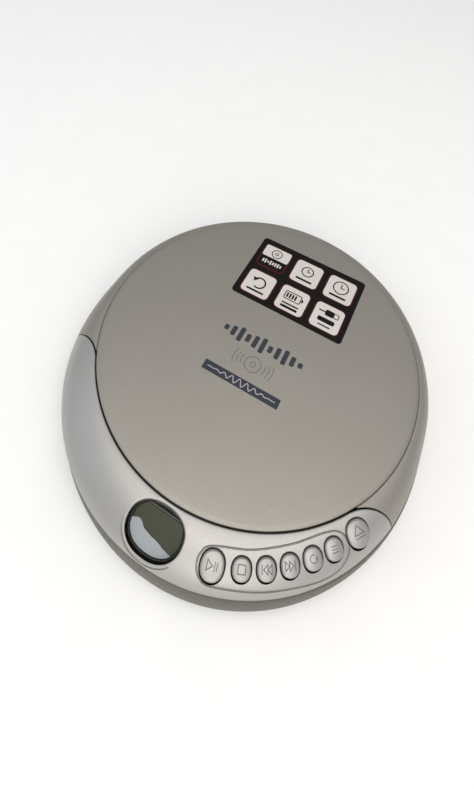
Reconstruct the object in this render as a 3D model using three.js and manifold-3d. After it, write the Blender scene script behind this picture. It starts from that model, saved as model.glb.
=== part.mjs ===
// Portable CD player, lid closed, standing on its four feet. Millimetres, +Z up, controls towards -Y.
// Most shapes are drawn around the disc axis and then moved back by DISC_Y, so that the origin
// is below the middle of the whole casing.
import * as THREE from 'three';
import { mergeVertices } from 'three/addons/utils/BufferGeometryUtils.js';
import Module from 'manifold-3d';

const wasm = await Module();
wasm.setup();

// Plan: the outline is the hull of two circles of radius PART_R, one on the disc axis and one
// BULGE further forward, seen at the height where the upper and lower casings meet.
const PART_R = 69.0;
const BULGE = 10.4;
const CASE_R = 70.4; // widest part of the lower casing
const LID_R = 62.0; // raised round part of the lid
const SEAM_R = 62.85; // inner edge of the front fascia
const WELL_R = 61.0; // well that a 120 mm disc drops into
const DISC_Y = (CASE_R * BULGE) / PART_R / 2;
const GAP = 0.3;
const WALL = 1.6;

// Heights above the table.
const FLOOR_Z = 1.2;
const FLOOR_TOP = 2.8;
const BASE_TOP = 16.0;
const PART_Z = 16.4;
const DECK_Z = 18.2;
const DECK_TOP = 19.4;
const RIM_Z = 22.8;
const SEAM_Z = 25.4;
const LID_Z = 26.8;

// Tongue-shaped ends of the fascia: each is an arc about a point beside the disc axis.
const TONGUE_R = 15.6;
const TANGENT = 37; // degrees from the X axis, where the arc meets the seam
const TONGUE_X = (SEAM_R + TONGUE_R) * Math.cos((TANGENT * Math.PI) / 180);
const TONGUE_Y = -(SEAM_R + TONGUE_R) * Math.sin((TANGENT * Math.PI) / 180);

// Controls on the fascia: place around the disc axis (degrees from the front, radius), half
// width, half height and travel.
const KEY_TILT = 14;
const KEYS = [
  { name: 'play_button', angle: 15.4, radius: 72.4, wide: 3.6, high: 4.1, travel: 0.8 },
  { name: 'stop_button', angle: 22.3, radius: 71.8, wide: 2.85, high: 3.1, travel: 0.8 },
  { name: 'skip_back_button', angle: 28.2, radius: 71.3, wide: 2.85, high: 3.1, travel: 0.8 },
  { name: 'skip_forward_button', angle: 34.0, radius: 70.7, wide: 2.85, high: 3.1, travel: 0.8 },
  { name: 'program_button', angle: 39.9, radius: 70.0, wide: 2.95, high: 3.1, travel: 0.8 },
  { name: 'mode_button', angle: 45.8, radius: 69.3, wide: 2.95, high: 3.1, travel: 0.8 },
  { name: 'open_button', angle: 53.4, radius: 68.4, wide: 3.85, high: 3.9, travel: 1.5, stemZ: 17.7 },
];
const KEY_PROUD = 0.9; // how far a key stands above the fascia at its middle
const KEY_DEEP = 3.0; // how far its skirt reaches below the fascia's face
const STEM_Z = 15.6; // lower end of a key's stem, above its switch
const WINDOW = { angle: -0.4, radius: 70.9, z: 22.2, wide: 9.6, high: 7.77, tilt: 24, power: 2.24 };

// Hinge of the lid, at the back edge of the casing.
const HINGE_Y = 68.2;
const HINGE_Z = 16.3;
const HINGE_HALF = 15.5;
const KNUCKLE_R = 2.0;

// Fixings.
const BOSSES = [[44, -44], [-44, -44], [54, 28], [-54, 28]];
const FEET = [[36, -52], [-36, -52], [44, 34], [-44, 34]];
const DAMPERS = [[16, 16.5], [16, -17], [-54, 19.5]];

// Battery bay for two AA cells side by side, and its sliding door.
const BAY = { x: 28.9, front: 25.6, rear: 57.2, bottom: 3.5, top: 17.9 };
const DOOR = { x: 28.7, front: 24.9, top: 2.5 };

// Optical drive. The pickup rides on two rails towards -X.
const CHASSIS_Z = 13.0;
const CHASSIS_TOP = 14.2;
const RAIL_Y = 11;
const RAIL_Z = 10.5;
const RAIL_R = 1.0;
const LENS_X = -24;
const FEED = { x: -30, y: -19.2, wheel: 8, pinion: 3 };
const MOTOR = { x: -21.3, y: -24.0, r: 6, pinion: 1.6, bottom: 9.0 };

// Sockets and side controls in the lower casing's wall: degrees from the front.
const JACK_ANGLE = 140;
const JACK_Z = 9.2;
const POWER_ANGLE = 126;
const VOLUME = { angle: -135, radius: 61.4, wheel: 10, z: 7.8, top: 10.2 };
const HOLD = { angle: -108, z: 9.5, travel: 3 };
const HOOK = { angle: 54, wide: 7, inner: 60.6, outer: 61.8, bottom: 12.4 };

const BOARD_Z = 4.3;
const BOARD_TOP = 5.7;
const ROUND = 40; // steps around the casing
const SMALL = 12; // steps around small round parts

// ---- Turning three.js geometry into solids and back ------------------------------------

function solid(geometry) {
  const bare = geometry.clone();
  bare.deleteAttribute('normal');
  bare.deleteAttribute('uv');
  const merged = mergeVertices(bare, 1e-4);
  const places = merged.attributes.position.array;
  const corners = merged.index.array;
  const kept = [];
  let volume = 0;
  for (let i = 0; i < corners.length; i += 3) {
    const [a, b, c] = corners.subarray(i, i + 3);
    if (a === b || b === c || a === c) continue;
    kept.push(a, b, c);
    const [p, q, r] = [a, b, c].map((v) => new THREE.Vector3().fromArray(places, v * 3));
    volume += p.dot(q.cross(r));
  }
  if (volume < 0) kept.reverse();
  const mesh = new wasm.Mesh({
    numProp: 3,
    vertProperties: new Float32Array(places),
    triVerts: new Uint32Array(kept),
  });
  return new wasm.Manifold(mesh);
}

function shell(body) {
  const mesh = body.getMesh();
  const geometry = new THREE.BufferGeometry();
  geometry.setAttribute('position', new THREE.BufferAttribute(new Float32Array(mesh.vertProperties), 3));
  geometry.setIndex(new THREE.BufferAttribute(new Uint32Array(mesh.triVerts), 1));
  return geometry;
}

const cut = (body, ...tools) => tools.reduce((left, tool) => left.subtract(tool), body);
const join = (...bodies) => bodies.reduce((all, body) => all.add(body));

// ---- Plain shapes -----------------------------------------------------------------------

// A turned shape from [radius, height] pairs, with its axis along Z.
function turned(profile, steps = ROUND) {
  const points = profile.map(([radius, height]) => new THREE.Vector2(radius, height));
  return new THREE.LatheGeometry(points, steps).rotateX(Math.PI / 2);
}

function rod(radius, bottom, top, x = 0, y = 0, steps = SMALL) {
  const geometry = new THREE.CylinderGeometry(radius, radius, top - bottom, steps);
  return geometry.rotateX(Math.PI / 2).translate(x, y, (bottom + top) / 2);
}

function bar(radius, left, right, y, z, steps = SMALL) {
  const geometry = new THREE.CylinderGeometry(radius, radius, right - left, steps);
  return geometry.rotateZ(Math.PI / 2).translate((left + right) / 2, y, z);
}

function block(left, right, front, back, bottom, top) {
  const geometry = new THREE.BoxGeometry(right - left, back - front, top - bottom);
  return geometry.translate((left + right) / 2, (front + back) / 2, (bottom + top) / 2);
}

function prism(shape, bottom, top, bevel = 0) {
  const options = {
    depth: top - bottom - 2 * bevel,
    bevelEnabled: bevel > 0,
    bevelThickness: bevel,
    bevelSize: bevel,
    bevelOffset: -bevel,
    bevelSegments: 1,
    curveSegments: 8,
  };
  return new THREE.ExtrudeGeometry(shape, options).translate(0, 0, bottom + bevel);
}

// An oval between an ellipse (power 2) and a box (a high power).
function oval(wide, high, power = 2.2, steps = 16) {
  const soften = (value) => Math.sign(value) * Math.abs(value) ** (2 / power);
  const points = [];
  for (let i = 0; i < steps; i += 1) {
    const angle = (i / steps) * 2 * Math.PI;
    points.push(new THREE.Vector2(wide * soften(Math.cos(angle)), high * soften(Math.sin(angle))));
  }
  return new THREE.Shape(points);
}

function polygon(points) {
  return new THREE.Shape(points.map(([x, y]) => new THREE.Vector2(x, y)));
}

// ---- Placing around the disc axis -------------------------------------------------------

const radians = THREE.MathUtils.degToRad;

// Turns a shape drawn at the front of the casing to its angle around the disc axis.
function around(geometry, angle) {
  return geometry.rotateZ(radians(angle));
}

// Puts a shape drawn about its own middle onto the fascia, leaning outwards by tilt degrees.
function lean(geometry, { angle, radius, z, tilt }) {
  return around(geometry.rotateX(radians(tilt)).translate(0, -radius, z), angle);
}

function outlineRadius(angle) {
  const forward = Math.cos(angle);
  const aside = Math.abs(Math.sin(angle));
  if (forward <= 0) return PART_R;
  if (PART_R * forward <= BULGE * aside) return PART_R / aside;
  return BULGE * forward + Math.sqrt(PART_R ** 2 - (BULGE * aside) ** 2);
}

// Moves the points outside the radius `fixed` forward, so that PART_R becomes the outline.
function spread(geometry, fixed = 0) {
  const place = geometry.attributes.position;
  for (let i = 0; i < place.count; i += 1) {
    const x = place.getX(i);
    const y = place.getY(i);
    const radius = Math.hypot(x, y);
    if (radius <= fixed) continue;
    const outline = outlineRadius(Math.atan2(x, -y));
    const moved = fixed + ((radius - fixed) * (outline - fixed)) / (PART_R - fixed);
    place.setX(i, (x * moved) / radius);
    place.setY(i, (y * moved) / radius);
  }
  return geometry;
}

const SHOULDER = [0, 0.4, 0.7, 0.9, 1];

// Height of the casing's rounded shoulder, 0 at the seam and 1 at the parting line.
function shoulder(share, top = SEAM_Z) {
  return PART_Z + (top - PART_Z) * (1 - share * share) ** 0.7;
}

function fasciaHeight(angle, radius) {
  const outline = outlineRadius(radians(angle));
  return shoulder((radius - SEAM_R) / (outline - SEAM_R));
}

// ---- The scene graph ----------------------------------------------------------------------

const group = new THREE.Group();
const casing = new THREE.Group();
casing.position.y = DISC_Y;
group.add(casing);

function finish(color, roughness, metalness = 0) {
  return new THREE.MeshStandardMaterial({ color, roughness, metalness });
}

const lidPaint = finish(0x9f9a92, 0.5, 0.25);
const fasciaPaint = finish(0xb9b8b2, 0.4, 0.3);
const keyPaint = finish(0xc4c2be, 0.35, 0.3);
const basePlastic = finish(0x6a675d, 0.6);
const darkPlastic = finish(0x2b2c2d, 0.55);
const greyPlastic = finish(0x8d8e8c, 0.6);
const clearPlastic = finish(0xbfc6c4, 0.1);
const displayGlass = finish(0x4d5138, 0.25);
const boardGreen = finish(0x2c5a38, 0.5);
const steel = finish(0xb4b6b8, 0.3, 1.0);
const spring = finish(0xc6c8c9, 0.25, 1.0);
const softRubber = finish(0x242424, 0.85);
const lensGlass = finish(0x7a86b8, 0.05);
const amber = finish(0xb07a35, 0.5);
const stickerFilm = finish(0x17171a, 0.3);

function piece(name, body, material) {
  const geometry = body instanceof THREE.BufferGeometry ? body : shell(body);
  const mesh = new THREE.Mesh(geometry, material);
  mesh.name = name;
  casing.add(mesh);
}

// ---- Casing -------------------------------------------------------------------------------

const BASE_OUTSIDE = [
  [0, FLOOR_Z], [67.8, FLOOR_Z], [69.7, 2.0], [CASE_R, 3.8], [CASE_R, 8.5], [70.1, 12.5],
  [69.3, BASE_TOP],
];
const BASE_INSIDE = [
  [67.7, BASE_TOP], [68.5, 12], [68.7, 8], [68.7, 4.6], [68.0, 3.3], [66.6, FLOOR_TOP], [0, FLOOR_TOP],
];

// The front is everything before the two tongue arcs; `gap` moves its edge outwards. Each arc
// leaves the seam as a tangent and ends square to the outline.
function frontRegion(gap) {
  const reach = 120;
  const radius = TONGUE_R + gap;
  const shape = new THREE.Shape();
  shape.moveTo(-reach, -reach);
  shape.lineTo(reach, -reach);
  shape.lineTo(reach, TONGUE_Y + radius);
  shape.absarc(TONGUE_X, TONGUE_Y, radius, radians(90), radians(180 - TANGENT), false);
  shape.lineTo(0, -30);
  shape.absarc(-TONGUE_X, TONGUE_Y, radius, radians(TANGENT), radians(90), false);
  shape.lineTo(-reach, TONGUE_Y + radius);
  return solid(prism(shape, 0, 40));
}

function baseBoss([x, y]) {
  const profile = [[0, 2.0], [4.6, 2.0], [4.6, 4.0], [3.0, 4.0], [3.0, 8.0], [0, 8.0]];
  return solid(turned(profile, SMALL).translate(x, y, 0));
}

function hingeEar(side) {
  const ear = solid(bar(KNUCKLE_R, 6, 9, HINGE_Y, HINGE_Z));
  const web = solid(block(6, 9, HINGE_Y - 1.2, HINGE_Y + 0.9, 10, HINGE_Z));
  const both = join(ear, web);
  return side > 0 ? both : both.mirror([1, 0, 0]);
}

const wallSlot = (wide, bottom, top, angle) =>
  solid(around(block(-wide / 2, wide / 2, -90, -60, bottom, top), angle));

function baseShell() {
  const body = join(
    solid(spread(turned([...BASE_OUTSIDE, ...BASE_INSIDE]))),
    ...BOSSES.map(baseBoss),
  );
  const hinge = solid(block(-HINGE_HALF, HINGE_HALF, 62, 76, 13.4, 20));
  const bay = solid(block(-29, 29, DOOR.front - GAP, 90, 0, FLOOR_TOP + 0.05));
  const screws = BOSSES.flatMap(([x, y]) => [rod(2.6, 0, 2.3, x, y), rod(1.3, 2, 9, x, y)].map(solid));
  const seats = FEET.map(([x, y]) => solid(rod(4.8, 0, 1.9, x, y)));
  const jackHole = solid(around(rod(3.4, 60, 80).rotateX(Math.PI / 2).translate(0, 0, JACK_Z), JACK_ANGLE));
  const openings = [
    jackHole,
    wallSlot(10.4, 6.6, 11.6, POWER_ANGLE),
    wallSlot(16.4, VOLUME.z - 0.5, VOLUME.top + 0.5, VOLUME.angle),
    wallSlot(9, HOLD.z - 1.4, HOLD.z + 1.4, HOLD.angle),
  ];
  const shaped = cut(body, hinge, bay, ...screws, ...seats, ...openings);
  const hingePin = solid(bar(1.2, -16, 16, HINGE_Y, HINGE_Z));
  return cut(join(shaped, hingeEar(1), hingeEar(-1)), hingePin);
}

function batteryDoor() {
  const plate = solid(block(-DOOR.x, DOOR.x, DOOR.front, 90, FLOOR_Z, DOOR.top));
  const outside = solid(spread(turned([...BASE_OUTSIDE, [0, BASE_TOP]])));
  const gripLines = [-6, 0, 6].map((x) => solid(block(x - 1, x + 1, 44, 54, 0, FLOOR_Z + 0.4)));
  return cut(plate.intersect(outside), ...gripLines);
}

function batteryBox() {
  const [side, back] = [BAY.x + WALL, BAY.rear + 1.2];
  const outer = solid(block(-side, side, BAY.front - 1.2, back, BAY.bottom, BAY.top));
  const inner = solid(block(-BAY.x, BAY.x, BAY.front, BAY.rear, 0, BAY.top - 0.7));
  return cut(outer.intersect(solid(rod(65.2, 0, 30, 0, 0, ROUND))), inner);
}

function deckPost([x, y], outer, bottom) {
  return solid(rod(outer, bottom, DECK_Z + 0.4, x, y));
}

function discDeck() {
  const profile = [
    [0, DECK_Z], [66.2, DECK_Z], [66.2, DECK_TOP], [62.2, DECK_TOP], [62.2, RIM_Z], [WELL_R, RIM_Z],
    [WELL_R, DECK_TOP], [0, DECK_TOP],
  ];
  const body = join(
    solid(turned(profile)),
    ...BOSSES.map((place) => deckPost(place, 3.2, 8.3)),
    ...DAMPERS.map((place) => deckPost(place, 2.0, 12.6)),
  );
  return cut(
    body,
    solid(rod(14.6, 10, 24, 0, 0, 28)),
    solid(block(-59.5, 0, -5.5, 5.5, 17, 21)),
    solid(block(-HINGE_HALF, HINGE_HALF, 64.4, 70, 17, 24)),
    solid(around(block(-4.2, 4.2, -63.8, -60.2, 12, 24), HOOK.angle)),
    solid(around(block(-5.4, 5.4, -70, -62.4, 17, 20), HOOK.angle)),
    solid(block(-11, 11, -70, -62.5, 17, 20)),
    solid(around(rod(1.5, 17, 24, 0, -58.6), 30)),
    ...BOSSES.map(([x, y]) => solid(rod(1.25, 0, 17.4, x, y))),
    ...DAMPERS.map(([x, y]) => solid(rod(1.15, 0, 17.4, x, y))),
  );
}

// The rounded ring between the seam and the parting line, drawn before it is spread.
function shoulderRing(topInner, foot) {
  const inner = [1, 0.9, 0.7, 0.4, 0];
  const edge = inner.map((share) => [64.4 + 3.0 * share, shoulder(share, SEAM_Z - 1.7)]);
  const face = SHOULDER.map((share) => [SEAM_R + (PART_R - SEAM_R) * share, shoulder(share)]);
  return [...foot, topInner, ...face, ...edge, foot[0]];
}

const keyPlace = (key) => ({ ...key, z: fasciaHeight(key.angle, key.radius), tilt: KEY_TILT });

function frontFascia() {
  const ring = shoulderRing([SEAM_R, SEAM_Z - 0.3], [[64.4, 19.8], [SEAM_R, 19.8]]);
  const body = solid(spread(turned(ring, 48), SEAM_R + 0.01)).intersect(frontRegion(0));
  const holes = KEYS.map((key) => {
    const hole = prism(oval(key.wide + 0.4, key.high + 0.4), -5.6, 6);
    return solid(lean(hole, keyPlace(key)));
  });
  const pane = solid(lean(prism(oval(WINDOW.wide, WINDOW.high, WINDOW.power, 28), -6, 6), WINDOW));
  return cut(body, ...holes, pane);
}

function lidCover() {
  const plate = [
    [0, LID_Z], [30, LID_Z - 0.1], [50, LID_Z - 0.3], [60.4, LID_Z - 0.5], [61.6, LID_Z - 0.9],
    [LID_R, SEAM_Z - 0.1], [LID_R, RIM_Z + 0.4], [59.9, RIM_Z + 0.4], [59.9, 24.4], [50, 25.0], [0, 25.3],
  ];
  const skirt = [[64.4, 23.7], [60.6, 24.0], [60.6, SEAM_Z - 0.2], [SEAM_R, SEAM_Z]];
  const inner = [1, 0.9, 0.7, 0.4];
  const face = SHOULDER.slice(1).map((share) => [SEAM_R + (PART_R - SEAM_R) * share, shoulder(share)]);
  const back = inner.map((share) => [64.4 + 3.0 * share, shoulder(share, SEAM_Z - 1.7)]);
  const ring = solid(spread(turned([...skirt, ...face, ...back, skirt[0]], 48), SEAM_R + 0.01));
  const rear = cut(ring, frontRegion(0.45));
  const notch = solid(block(-HINGE_HALF, HINGE_HALF, 64, 74, 10, 18.9));
  const knuckles = [[9.4, 14], [-14, -9.4]].map(([left, right]) => join(
    solid(bar(KNUCKLE_R, left, right, HINGE_Y, HINGE_Z)),
    solid(block(left, right, HINGE_Y - 1.6, HINGE_Y + 0.2, HINGE_Z, 20)),
  ));
  const pinHole = solid(bar(1.2, -16, 16, HINGE_Y, HINGE_Z));
  return cut(join(cut(join(solid(turned(plate)), rear), notch), ...knuckles), pinHole);
}

// Thin inner lining of the lid, with a low ring that keeps the disc from lifting.
function lidLiner() {
  const lining = [
    [0, 24.3], [12, 24.3], [12, 23.8], [14, 23.8], [14, 24.3], [50, 24.1], [54, 24.0], [54, 24.5],
    [0, 24.9],
  ];
  return solid(turned(lining, 36));
}

function lidHook() {
  const { wide, inner, outer, bottom } = HOOK;
  const blade = solid(block(-wide / 2, wide / 2, -outer, -inner, bottom, RIM_Z + 0.1));
  const nose = solid(block(-wide / 2, wide / 2, -outer - 0.6, -inner, bottom, bottom + 1.2));
  return around(shell(join(blade, nose)), HOOK.angle);
}

function lidLabel() {
  const [left, right, front, back, corner] = [-21.8, 28.0, 15.4, 49.8, 3];
  const shape = new THREE.Shape();
  shape.absarc(right - corner, back - corner, corner, 0, Math.PI / 2, false);
  shape.absarc(left + corner, back - corner, corner, Math.PI / 2, Math.PI, false);
  shape.absarc(left + corner, front + corner, corner, Math.PI, 1.5 * Math.PI, false);
  shape.absarc(right - corner, front + corner, corner, 1.5 * Math.PI, 2 * Math.PI, false);
  return prism(shape, LID_Z + 0.05, LID_Z + 0.25);
}

// ---- Keys and display ----------------------------------------------------------------------

// An oval cap with a rounded top, a skirt inside the fascia, and a stem to its switch.
function keyCap(key) {
  const cap = solid(prism(oval(key.wide, key.high), -KEY_DEEP, KEY_PROUD, 0.6));
  const place = keyPlace(key);
  const reach = (place.z - (key.stemZ ?? STEM_Z)) / Math.cos(radians(KEY_TILT));
  const stem = solid(rod(1.3, -reach, -1));
  return lean(shell(join(cap, stem)), place);
}

// The switches under the keys, on one curved board that follows the row.
function keyBoard() {
  const [inner, outer, from, to] = [65.2, 72.6, -80, -40];
  const shape = new THREE.Shape();
  shape.absarc(0, 0, outer, radians(from), radians(to), false);
  shape.absarc(0, 0, inner, radians(to), radians(from), true);
  const board = solid(prism(shape, 11.4, 12.6));
  const switches = KEYS.slice(0, -1).map((key) => {
    const body = block(-2.2, 2.2, -2.2, 2.2, 12.4, 14.2).translate(0, -70.4, 0);
    return solid(around(body, key.angle));
  });
  return cut(join(board, ...switches), solid(rod(3.6, 0, 20, 44, -44)));
}

function displayWindow() {
  const pane = prism(oval(WINDOW.wide - 0.4, WINDOW.high - 0.4, WINDOW.power, 28), -2.0, -0.8);
  return lean(pane, WINDOW);
}

function displayFrame() {
  const outer = solid(prism(oval(WINDOW.wide - 0.3, WINDOW.high - 0.6, WINDOW.power, 28), -3.6, -2.3));
  const inner = solid(prism(oval(WINDOW.wide - 1.2, WINDOW.high - 1.5, WINDOW.power, 28), -4, -2));
  return lean(shell(cut(outer, inner)), WINDOW);
}

function displayModule() {
  const glass = solid(block(-8.4, 8.4, -6.4, 3.8, -5.6, -3.9));
  const ledge = solid(block(-8.4, 8.4, -6.4, 3.8, -6.8, -5.4));
  return lean(shell(join(glass, ledge)), WINDOW);
}

// ---- Electronics ---------------------------------------------------------------------------

// The main board is a horseshoe around the battery bay, with its larger parts soldered on.
function mainBoard() {
  const disc = solid(spread(turned([[0, BOARD_Z], [63.6, BOARD_Z], [63.6, BOARD_TOP], [0, BOARD_TOP]])));
  const chips = [
    block(28, 40, -18, -6, BOARD_TOP - 0.1, BOARD_TOP + 1.4),
    block(30, 38, 2, 12, BOARD_TOP - 0.1, BOARD_TOP + 1.4),
    block(-44, -34, -44, -34, BOARD_TOP - 0.1, BOARD_TOP + 1.4),
    rod(3, BOARD_TOP - 0.1, 11, 48, -12),
    rod(3, BOARD_TOP - 0.1, 11, 48, -4),
    rod(2.5, BOARD_TOP - 0.1, 10, 46, 8),
    around(rod(3.6, BOARD_TOP - 1.2, VOLUME.z - 0.5, 0, -VOLUME.radius), VOLUME.angle),
  ].map(solid);
  return cut(
    join(disc, ...chips),
    solid(block(-31.2, 31.2, 23.8, 70, 0, 20)),
    solid(around(rod(1.6, 6.2, 20, 0, -VOLUME.radius), VOLUME.angle)),
    ...BOSSES.map(([x, y]) => solid(rod(3.5, 0, 20, x, y))),
  );
}

function headphoneJack() {
  const body = solid(block(-4, 4, -65.2, -54, 6.0, 12.2));
  const nose = solid(rod(3.0, 64, 69.6).rotateX(Math.PI / 2).translate(0, 0, JACK_Z));
  const bore = solid(rod(1.85, 56, 72).rotateX(Math.PI / 2).translate(0, 0, JACK_Z));
  return around(shell(cut(join(body, nose), bore)), JACK_ANGLE);
}

function powerSocket() {
  const body = solid(block(-4.6, 4.6, -69.2, -58, 7.1, 11.2));
  const mouth = solid(block(-4.0, 4.0, -72, -61, 7.7, 10.6));
  const tongue = solid(block(-3.0, 3.0, -67.6, -60, 8.8, 9.5));
  const feet = solid(block(-4.6, 4.6, -64, -59, 6.0, 7.3));
  return around(shell(join(cut(body, mouth), tongue, feet)), POWER_ANGLE);
}

function volumeWheel() {
  const ribs = 24;
  const points = [];
  for (let i = 0; i < ribs * 2; i += 1) {
    const angle = (i / (ribs * 2)) * 2 * Math.PI;
    const radius = VOLUME.wheel - (i % 2 ? 0.3 : 0);
    points.push([radius * Math.cos(angle), radius * Math.sin(angle)]);
  }
  const rim = solid(prism(polygon(points), VOLUME.z, VOLUME.top));
  const axle = solid(rod(1.2, 6.5, VOLUME.z + 0.5));
  return around(shell(join(rim, axle)).translate(0, -VOLUME.radius, 0), VOLUME.angle);
}

function holdSwitch() {
  const knob = solid(block(-HOLD.travel, 0, -70.9, -64.5, HOLD.z - 1.1, HOLD.z + 1.1));
  const plate = solid(block(-5.4, 2.4, -65.4, -63.9, HOLD.z - 2, HOLD.z + 2));
  return around(shell(join(knob, plate)), HOLD.angle);
}

function lidSwitch() {
  const body = solid(block(-3, 3, -61.4, -56, 13.4, 17.6));
  const plunger = solid(rod(1.1, 17, RIM_Z, 0, -58.6));
  return around(shell(join(body, plunger)), 30);
}

// ---- Battery contacts ----------------------------------------------------------------------

// A spring contact is a plate with a cone that stands for its coil.
function springPlate(side, y, wide) {
  const plate = solid(block(side * 28.4 - 0.25, side * 28.4 + 0.25, y - wide, y + wide, 4.5, 15.5));
  const cone = new THREE.CylinderGeometry(1.6, 3.2, 4, SMALL).rotateZ((side * Math.PI) / 2);
  return join(plate, solid(cone.translate(side * 26.3, y, 10)));
}

function batteryBridge() {
  const plate = solid(block(-28.65, -28.15, 28.5, 56.5, 4.5, 15.5));
  const cone = new THREE.CylinderGeometry(1.6, 3.2, 4, SMALL).rotateZ(-Math.PI / 2);
  return join(plate, solid(cone.translate(-26.3, 50, 10)));
}

// ---- Optical drive -------------------------------------------------------------------------

function mechanismChassis() {
  const plate = solid(block(-64, 22, -21.5, 24, CHASSIS_Z, CHASSIS_TOP));
  const corners = [[-64, -21.5], [-64, 24]].map(([x, y]) => solid(rod(6, 10, 16, x, y)));
  const window = solid(block(-61.8, -14.2, -16.6, 14.4, 10, 16));
  const railEnds = [-RAIL_Y, RAIL_Y].flatMap((y) => [
    solid(block(-64, -62.1, y - 2.2, y + 2.2, 8.6, CHASSIS_Z + 0.2)),
    solid(block(-13.9, -12.0, y - 2.2, y + 2.2, 8.6, CHASSIS_Z + 0.2)),
  ]);
  const rails = [-RAIL_Y, RAIL_Y].map((y) => solid(bar(RAIL_R + 0.25, -63.2, -10, y, RAIL_Z)));
  const seats = DAMPERS.map(([x, y]) => solid(rod(3.7, 10, 16, x, y)));
  const axle = solid(rod(1.2, 6, CHASSIS_Z + 0.2, FEED.x, FEED.y));
  const body = join(cut(plate, ...corners, window), ...railEnds, axle);
  return cut(body, ...rails, ...seats, solid(rod(4.2, 10, 16)));
}

function spindleMotor() {
  const can = [[1.1, 7.6], [10.6, 7.6], [11, 8.0], [11, 12.2], [10.6, 12.7], [3.6, 12.7]];
  const collar = [[3.6, 13.8], [1.1, 13.8]];
  return solid(turned([...can, ...collar, can[0]], 24));
}

// Turntable with the hub that a disc snaps onto; its shaft runs down into the motor.
function turntable() {
  const profile = [
    [0, 8.2], [0.75, 8.2], [0.75, 14.4], [2.2, 14.4], [2.2, 19.2], [13.6, 19.2], [14.0, 19.6],
    [14.0, 20.9], [7.5, 20.9], [7.3, 22.4], [6.4, 23.3], [0, 23.4],
  ];
  const body = solid(turned(profile, 28));
  const balls = [0, 120, 240].map((angle) => {
    const ball = new THREE.SphereGeometry(1.1, 8, 6).translate(0, -6.8, 22);
    return solid(around(ball, angle));
  });
  return join(body, ...balls);
}

function pickupSled() {
  const body = solid(block(LENS_X - 6.5, LENS_X + 6.5, -13, 13, 8.7, 16.6));
  const relief = [-10, 10].map((y) => solid(block(LENS_X - 3.6, LENS_X + 3.6, y - 4, y + 4, 7, 18)));
  const turret = solid(block(LENS_X - 4.4, LENS_X + 4.4, -4.6, 4.6, 16, 19.0));
  const well = solid(rod(2.9, 14, 22, LENS_X, 0));
  const rails = [-RAIL_Y, RAIL_Y].map((y) => solid(bar(RAIL_R + 0.3, -40, -10, y, RAIL_Z)));
  const arm = solid(block(LENS_X - 6.5, 2, -15.6, -13.6, 9.4, 11.4));
  const root = solid(block(LENS_X - 6.5, LENS_X + 6.5, -15, -12.5, 9.4, 11.4));
  return cut(join(cut(body, ...relief), turret, arm, root), well, ...rails);
}

function objectiveLens() {
  const dome = [[0, 15.6], [2.5, 15.6], [2.5, 18.2], [2.2, 18.7], [1.2, 19.0], [0, 19.1]];
  return turned(dome, SMALL).translate(LENS_X, 0, 0);
}

// Toothed wheel from two radii; the teeth are plain trapezoids.
function toothed(radius, teeth, depth, bottom, top) {
  const points = [];
  for (let i = 0; i < teeth * 4; i += 1) {
    const angle = ((i + 0.5) / (teeth * 4)) * 2 * Math.PI;
    const reach = i % 4 < 2 ? radius : radius - depth;
    points.push([reach * Math.cos(angle), reach * Math.sin(angle)]);
  }
  return solid(prism(polygon(points), bottom, top));
}

function feedGear() {
  const wheel = toothed(FEED.wheel, 18, 0.8, 6.6, 8.0);
  const pinion = toothed(FEED.pinion, 8, 0.6, 7.8, 11.4);
  return cut(join(wheel, pinion), solid(rod(1.5, 0, 20))).translate([FEED.x, FEED.y, 0]);
}

function drivePinion() {
  const wheel = toothed(MOTOR.pinion, 8, 0.4, 6.6, 8.6);
  const shaft = solid(rod(0.5, 8.4, MOTOR.bottom - 0.05, 0, 0, 10));
  return join(wheel, shaft).translate([MOTOR.x, MOTOR.y, 0]);
}

function sledMotor() {
  const { r, bottom } = MOTOR;
  const can = [[0.85, bottom], [r - 0.4, bottom], [r, bottom + 0.4], [r, 12.6], [0.85, 12.6]];
  return solid(turned([...can, can[0]], 24).translate(MOTOR.x, MOTOR.y, 0));
}

function damper([x, y]) {
  const profile = [
    [2.35, 11.4], [4.6, 11.4], [4.6, 12.7], [3.4, 12.7], [3.4, 14.5], [4.6, 14.5], [4.6, 15.8],
    [2.35, 15.8],
  ];
  return turned([...profile, profile[0]], SMALL).translate(x, y, 0);
}

function damperScrew([x, y]) {
  const profile = [[0, 9.8], [3.0, 9.8], [3.4, 10.2], [3.4, 11.0], [0.85, 11.0], [0.85, 16.8], [0, 16.8]];
  return turned(profile, SMALL).translate(x, y, 0);
}

// Flat cable from the main board up to the pickup, folded once below it.
function ribbonCable() {
  const route = [[-30, 6.1], [-47, 6.1], [-49, 6.9], [-49, 7.1], [-47, 7.9], [-32, 7.9]];
  const under = [[-32, 7.6], [-46.8, 7.6], [-48.6, 7.0], [-46.8, 6.4], [-30, 6.4]];
  const shape = polygon([...route, ...under]);
  return prism(shape, -5, 5).rotateX(Math.PI / 2);
}

// ---- Latch, hinge and fixings --------------------------------------------------------------

// The open button's slider: a plate whose nose holds the lid's hook.
function latchSlider() {
  const plate = solid(block(-4, 4, -70.6, -62.9, 14.6, 15.8));
  const lug = solid(block(-1.5, 1.5, -65.2, -64.0, 10.4, 14.8));
  return around(shell(join(plate, lug)), HOOK.angle);
}

function latchSpring() {
  const coil = rod(1.4, 0, 3.2).rotateX(Math.PI / 2).translate(0, -67.2, 12.4);
  return around(coil, HOOK.angle);
}

function lidSpring() {
  const ring = [[1.35, -4.6], [2.0, -4.6], [2.0, 4.6], [1.35, 4.6]];
  return turned([...ring, ring[0]], SMALL).rotateY(Math.PI / 2).translate(0, HINGE_Y, HINGE_Z);
}

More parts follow.
